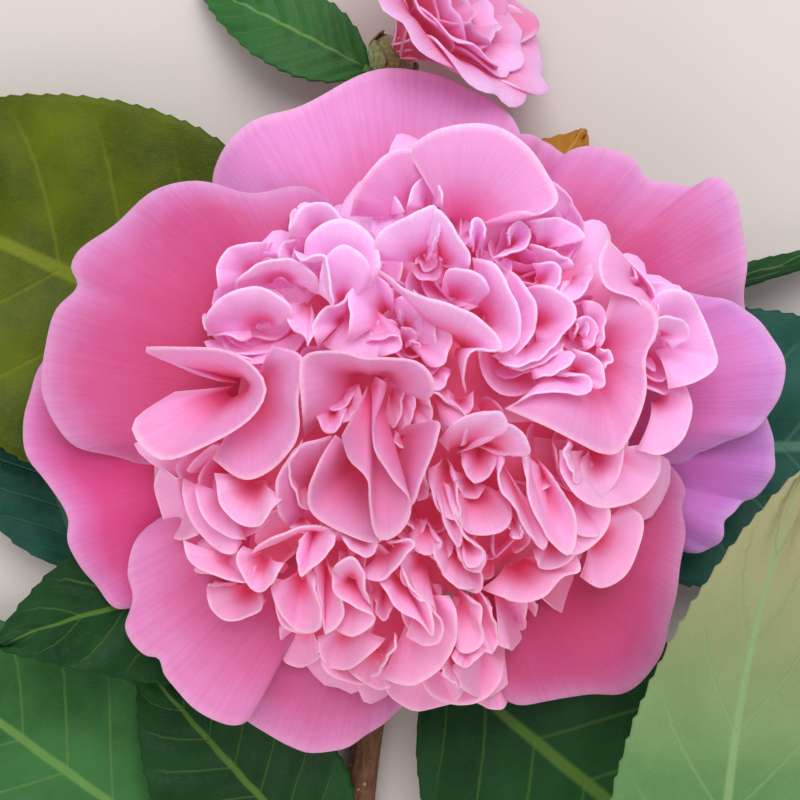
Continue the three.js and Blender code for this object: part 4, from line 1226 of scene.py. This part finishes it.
def heart():
    flaps, large = Heap(), Heap()
    for number, (paleness, foot, rim) in enumerate(LARGE_PETALS):
        heap = flaps if number < FLAPS else large
        large_petal(heap, paleness, picked(*foot), [picked(*place) for place in rim], LARGE_STEPS)
    flaps.piece("heart_flaps", bloom_frame, flap_pink, "heart_petal", "heart")
    large.piece("heart_large_petals", bloom_frame, heart_pink, "heart_petal", "heart")
    shells = Heap()
    for petal in SHELL_PETALS:
        shell_petal(shells, *petal, SHELL_STEPS)
    shells.piece("heart_shell_petals", bloom_frame, heart_pink, "heart_petal", "heart")
    inner = Heap()
    heart_core(inner)
    for number in range(len(WHORLS)):
        whorl(inner, number, WHORL_STEPS)
    inner.piece("heart_whorls", bloom_frame, heart_pink, "heart_petal", "heart")
    outer = Heap()
    drapes(outer, DRAPE_STEPS)
    outer.piece("heart_drapes", bloom_frame, heart_pink, "heart_petal", "heart")


# each ring of bud scales: the height of its tips as a share of the calyx, and how far out it stands
CALYX_RINGS = [(0.55, 1.0), (0.85, 1.06), (1.05, 1.12)]
SCALES_IN_RING = 5


def calyx(name, matrix, node):
    """A cup of bud scales: a solid inside and three rings of scales round it."""
    heap = Heap()
    profile = [
        (CALYX_FOOT, 0),
        (0.75 * CALYX_RIM, 0.3 * CALYX_HEIGHT),
        (CALYX_RIM, 0.7 * CALYX_HEIGHT),
        (0.9 * CALYX_RIM, CALYX_HEIGHT),
    ]
    heap.tube(turned_rings(profile, 32), np.full(len(profile), 0.4), 0.5, 0.0)
    for ring, (top, swell) in enumerate(CALYX_RINGS):
        for j in range(SCALES_IN_RING):
            azimuth = 360 * (j + 0.4 * ring) / SCALES_IN_RING
            spine = Spine(
                polar(azimuth, CALYX_FOOT * 0.8, 0.3),
                polar(azimuth, CALYX_RIM * 0.95 * swell, 0.4),
                polar(azimuth, CALYX_RIM * 1.12 * swell, 0.6 * top * CALYX_HEIGHT),
                polar(azimuth, CALYX_RIM * swell, top * CALYX_HEIGHT),
            )
            grid = sheet(
                spine,
                unit(polar(azimuth + 180, 1, 0.4)),
                8.5,
                petal_width(0.4, 0.5),
                (14, 14),
                round_end=0.4,
                cup=0.11,
                ruffle=0.15,
                phase=j,
            )
            heap.blade(grid, 0.45, dice.random())
    heap.piece(name, matrix, scales, "bud_scale", node)


# ---------- The small bloom ----------

# rings of petals: how many, distance of their tips from the axis, height of the tips, width, curl
SMALL_BLOOM_RINGS = [(6, 38, 32, 40, 40), (7, 27, 37, 32, 22), (7, 15, 38, 24, -5), (5, 7, 34, 16, -20)]
SMALL_BLOOM_ROOT = 13  # the height that its petals rise from
SMALL_BLOOM_THICKNESS = 0.8


def small_bloom():
    heap = Heap()
    root = UP * SMALL_BLOOM_ROOT
    for count, out, height, width, curl in SMALL_BLOOM_RINGS:
        for j in range(count):
            chance = dice.random(5)
            azimuth = 360 * (j + 0.3 * chance[0]) / count + out * 7
            tip = polar(azimuth, out, height + 4 * (chance[1] - 0.5))
            face = looking(azimuth + 180, 40)
            length = np.linalg.norm(tip - root)
            rise = unit(tip - root)
            away = -unit(face - (face @ rise) * rise)
            bend = math.radians(curl + 20 * (chance[2] - 0.5))
            last = rise * math.cos(bend) + away * math.sin(bend)
            grid = sheet(
                Spine(root - UP * 4, root + rise * 0.3 * length - away * 3, tip - last * 0.35 * length, tip),
                face,
                width,
                petal_width(0.25, 0.65),
                (20, 20),
                round_end=0.38,
                notch=0.06,
                cup=0.04,
                flare=-0.03,
                ruffle=1.5,
                waves=3,
                phase=6 * chance[3],
            )
            heap.blade(grid, SMALL_BLOOM_THICKNESS, 0.05 + 0.45 * chance[4])
    heap.piece("small_bloom_petals", small_bloom_frame, heart_pink, "guard_petal", "small_bloom")


# ---------- Leaves ----------


def leaf_spine(foot, azimuth, length, rise, tip, bend, drop):
    foot = np.array(foot, float)
    reach = 1.12 * length
    ahead, left = polar(azimuth, 1, 0), polar(azimuth + 90, 1, 0)

    def at(share, sideways, height):
        p = foot + ahead * share * reach + left * sideways * bend
        p[2] = height - drop
        return p

    return Spine(foot, at(0.33, 0.2, foot[2] + rise + drop), at(0.7, 0.4, foot[2] + rise), at(1, 1, tip))


STALK = 0.12 / 1.12  # share of the spine that is stalk
GROOVE_DEPTH = 0.35  # along the midrib
QUILT_HEIGHT = 0.3  # of the swellings between the side veins


def leaf_grid(name, drop, steps, teeth):
    foot, azimuth, length, width, rise, tip, _, bend, roll, _ = LEAVES[name]
    spine = leaf_spine(foot, azimuth, length, rise, tip, bend, drop)
    # an even spread of numbers from the lengths, of which the fraction sets where the waves start
    wave = math.sin(length * 127.1 + 8 * 311.7) * 43758.5453
    grid = sheet(
        spine,
        looking(azimuth + 90, 90 - roll),
        width,
        leaf_width if not teeth else toothed(leaf_width, length, width),
        steps,
        round_end=0,
        fold=0.1,
        ruffle=0.5,
        waves=4,
        phase=6 * (wave - math.floor(wave)),
        part=(STALK, 1),
    )
    return spine, grid


def toothed(width_at, length, width):
    """A leaf's width with forward-pointing teeth, about 2.4 mm apart and 0.45 mm deep."""
    count = length / 2.4

    def width_with_teeth(s):
        tooth = np.mod(s * count, 1.0)
        return width_at(s) + 0.9 / width * (tooth**1.5) * np.clip(6 * s, 0, 1)

    return width_with_teeth


def leaf(name):
    """One leaf on its stalk. A leaf with a lift is lowered until its lowest point is that high."""
    length, lift, colour = (LEAVES[name][k] for k in (2, 6, 9))
    drop = 0
    for _ in range(4 if lift is not None else 0):
        points = leaf_grid(name, drop, (8, 4), False)[1][0]
        drop += points[..., 2].min() - LEAF_THICKNESS / 2 - lift - 0.2
    spine, (points, s, v) = leaf_grid(name, drop, (int(length * 1.8), 20), True)
    groove = -GROOVE_DEPTH * np.exp(-((v / 0.05) ** 2)) * (1 - s)
    quilt = QUILT_HEIGHT * np.cos(2 * math.pi * (s * SIDE_VEINS - np.abs(v) * VEIN_SWEEP)) * (1 - v**4)
    heap = Heap()
    heap.blade((points, s, v), LEAF_THICKNESS, 0.5, groove + quilt)
    share = np.linspace(0, STALK * 1.3, 12)
    radii = np.linspace(1, 0.7, 12) * PETIOLE_RADIUS
    heap.tube(tube_rings(spine.at(share), spine.tangent(share), radii, 12), share)
    slot = "young_leaf" if colour == "bronze" else "leaf"
    heap.piece(name + "_blade", branch_frame, LEAF_MATERIALS[colour], slot, name)


# ---------- Bark ----------


def tube_rings(centres, tangents, radii, sides, ripple=0.0):
    turn = np.linspace(0, 2 * math.pi, sides, endpoint=False)
    side = unit(np.stack([tangents[:, 1], -tangents[:, 0], 0 * tangents[:, 0]], -1))
    up = np.cross(side, tangents)
    radii = np.asarray(radii, float).reshape(-1, 1) + ripple
    ring = side[:, None] * np.cos(turn)[None, :, None] + up[:, None] * np.sin(turn)[None, :, None]
    return centres[:, None] + ring * (radii * np.ones(sides))[..., None]


def catmull_rom(points, count):
    """Points along the curve through all points that three's CatmullRomCurve3 makes."""
    p = np.array(points, float)
    p = np.concatenate([[2 * p[0] - p[1]], p, [2 * p[-1] - p[-2]]])
    out = []
    for share in np.linspace(0, 1, count):
        at = share * (len(p) - 3)
        i = min(int(at), len(p) - 4)
        w = at - i
        a, b, c, d = p[i : i + 4]
        ta, tb, tc = (max(np.linalg.norm(y - x) ** 0.5, 1e-4) for x, y in ((a, b), (b, c), (c, d)))
        m1 = ((b - a) / ta - (c - a) / (ta + tb) + (c - b) / tb) * tb
        m2 = ((c - b) / tb - (d - b) / (tb + tc) + (d - c) / tc) * tb
        out.append(
            b
            + m1 * w
            + (-3 * b + 3 * c - 2 * m1 - m2) * w**2
            + (2 * b - 2 * c + m1 + m2) * w**3
        )
    return np.array(out)


NODE_SPACING, NODE_SWELL = 21, 0.28  # of the rings round a twig where leaves once sat


def limb(name, points, radii, sides=20):
    centres = catmull_rom(points, 160)
    tangents = unit(np.gradient(centres, axis=0))
    s = np.linspace(0, 1, len(centres))
    run = np.linalg.norm(np.diff(centres, axis=0), axis=1).sum()
    taper = radii[0] + (radii[1] - radii[0]) * s
    joint = np.exp(-(((s * run / NODE_SPACING + 0.4) % 1 - 0.5) ** 2) / 0.002) * NODE_SWELL
    turn = np.linspace(0, 2 * math.pi, sides, endpoint=False)
    ripple = 0.09 * np.sin(5 * turn[None, :] + 9 * s[:, None]) * np.sin(3 * turn[None, :] - 40 * s[:, None])
    heap = Heap()
    heap.tube(tube_rings(centres, tangents, taper - 0.1 + joint, sides, ripple), s, 0.5, 0.0)
    heap.piece(name + "_bark", branch_frame, bark, "bark", name)


CUT_WOOD_RADIUS = 2.35


def cut_face():
    """The disc of pale wood at the twig's cut."""
    start, ahead = np.array(TWIG[0][0], float), np.array([0, 1.0, 0])
    centres = np.array([start - ahead * 0.15, start + ahead * 1.5])  # it stands a little out of the bark
    rings = tube_rings(centres, np.array([ahead, ahead]), [CUT_WOOD_RADIUS, CUT_WOOD_RADIUS], 28)
    heap = Heap()
    heap.tube(rings, np.array([0.0, 1.0]), 0.5, 0.0)
    heap.piece("twig_cut_wood", branch_frame, cut_wood, "bark", "twig")


# ---------- Stage ----------


def stage():
    mesh = bpy.data.meshes.new("floor")
    half = 1.5  # metres
    corners = [(-half, -half, 0), (half, -half, 0), (half, half, 0), (-half, half, 0)]
    mesh.from_pydata(corners, [], [(0, 1, 2, 3)])
    mesh.materials.append(floor_material())
    floor = bpy.data.objects.new("floor", mesh)
    bpy.context.scene.collection.objects.link(floor)
    floor.location.z = -0.0002  # just below the leaves that touch it


SENSOR = 36


def camera():
    data = bpy.data.cameras.new("camera")
    data.sensor_width = SENSOR
    data.lens = SENSOR * CAMERA_HEIGHT / VIEW_WIDTH
    cam = bpy.data.objects.new("camera", data)
    bpy.context.scene.collection.objects.link(cam)
    x, y = BRANCH_ORIGIN[0] + VIEW_SHIFT[0], BRANCH_ORIGIN[1] + VIEW_SHIFT[1]
    cam.location = Vector((x, y, CAMERA_HEIGHT + GUARD_HEIGHT)) * MM
    bpy.context.scene.camera = cam


def area_light(name, position, aim, size, power, colour):
    data = bpy.data.lights.new(name, "AREA")
    data.size, data.energy, data.color = size, power, colour
    light = bpy.data.objects.new(name, data)
    bpy.context.scene.collection.objects.link(light)
    light.location = position
    light.rotation_mode = "QUATERNION"
    light.rotation_quaternion = (Vector(aim) - Vector(position)).to_track_quat("-Z", "Y")


def lights():
    aim = (0, 0.03, 0.03)  # metres, as all places of lights
    area_light("key", (0.1, 0.6, 0.9), aim, 0.8, 7.2, (0.98, 0.98, 1))
    area_light("fill", (-0.3, -0.7, 0.6), aim, 0.8, 2.5, (1, 0.9, 0.86))
    world = bpy.data.worlds.new("world")
    world.use_nodes = True
    background = world.node_tree.nodes["Background"]
    background.inputs[0].default_value = (0.93, 0.94, 1, 1)
    background.inputs[1].default_value = 0.56
    bpy.context.scene.world = world
    bpy.context.scene.view_settings.view_transform = "Standard"


# ---------- Making it ----------

guard_petals()
heart()
calyx("calyx_scales", bloom_frame, "calyx")
small_bloom()
calyx("small_calyx_scales", small_bloom_frame, "small_calyx")
for leaf_name in LEAVES:
    leaf(leaf_name)
limb("twig", *TWIG, sides=28)
for shoot_name, (shoot_points, shoot_radii) in SHOOTS.items():
    limb(shoot_name, shoot_points, shoot_radii)
cut_face()
stage()
lights()
camera()
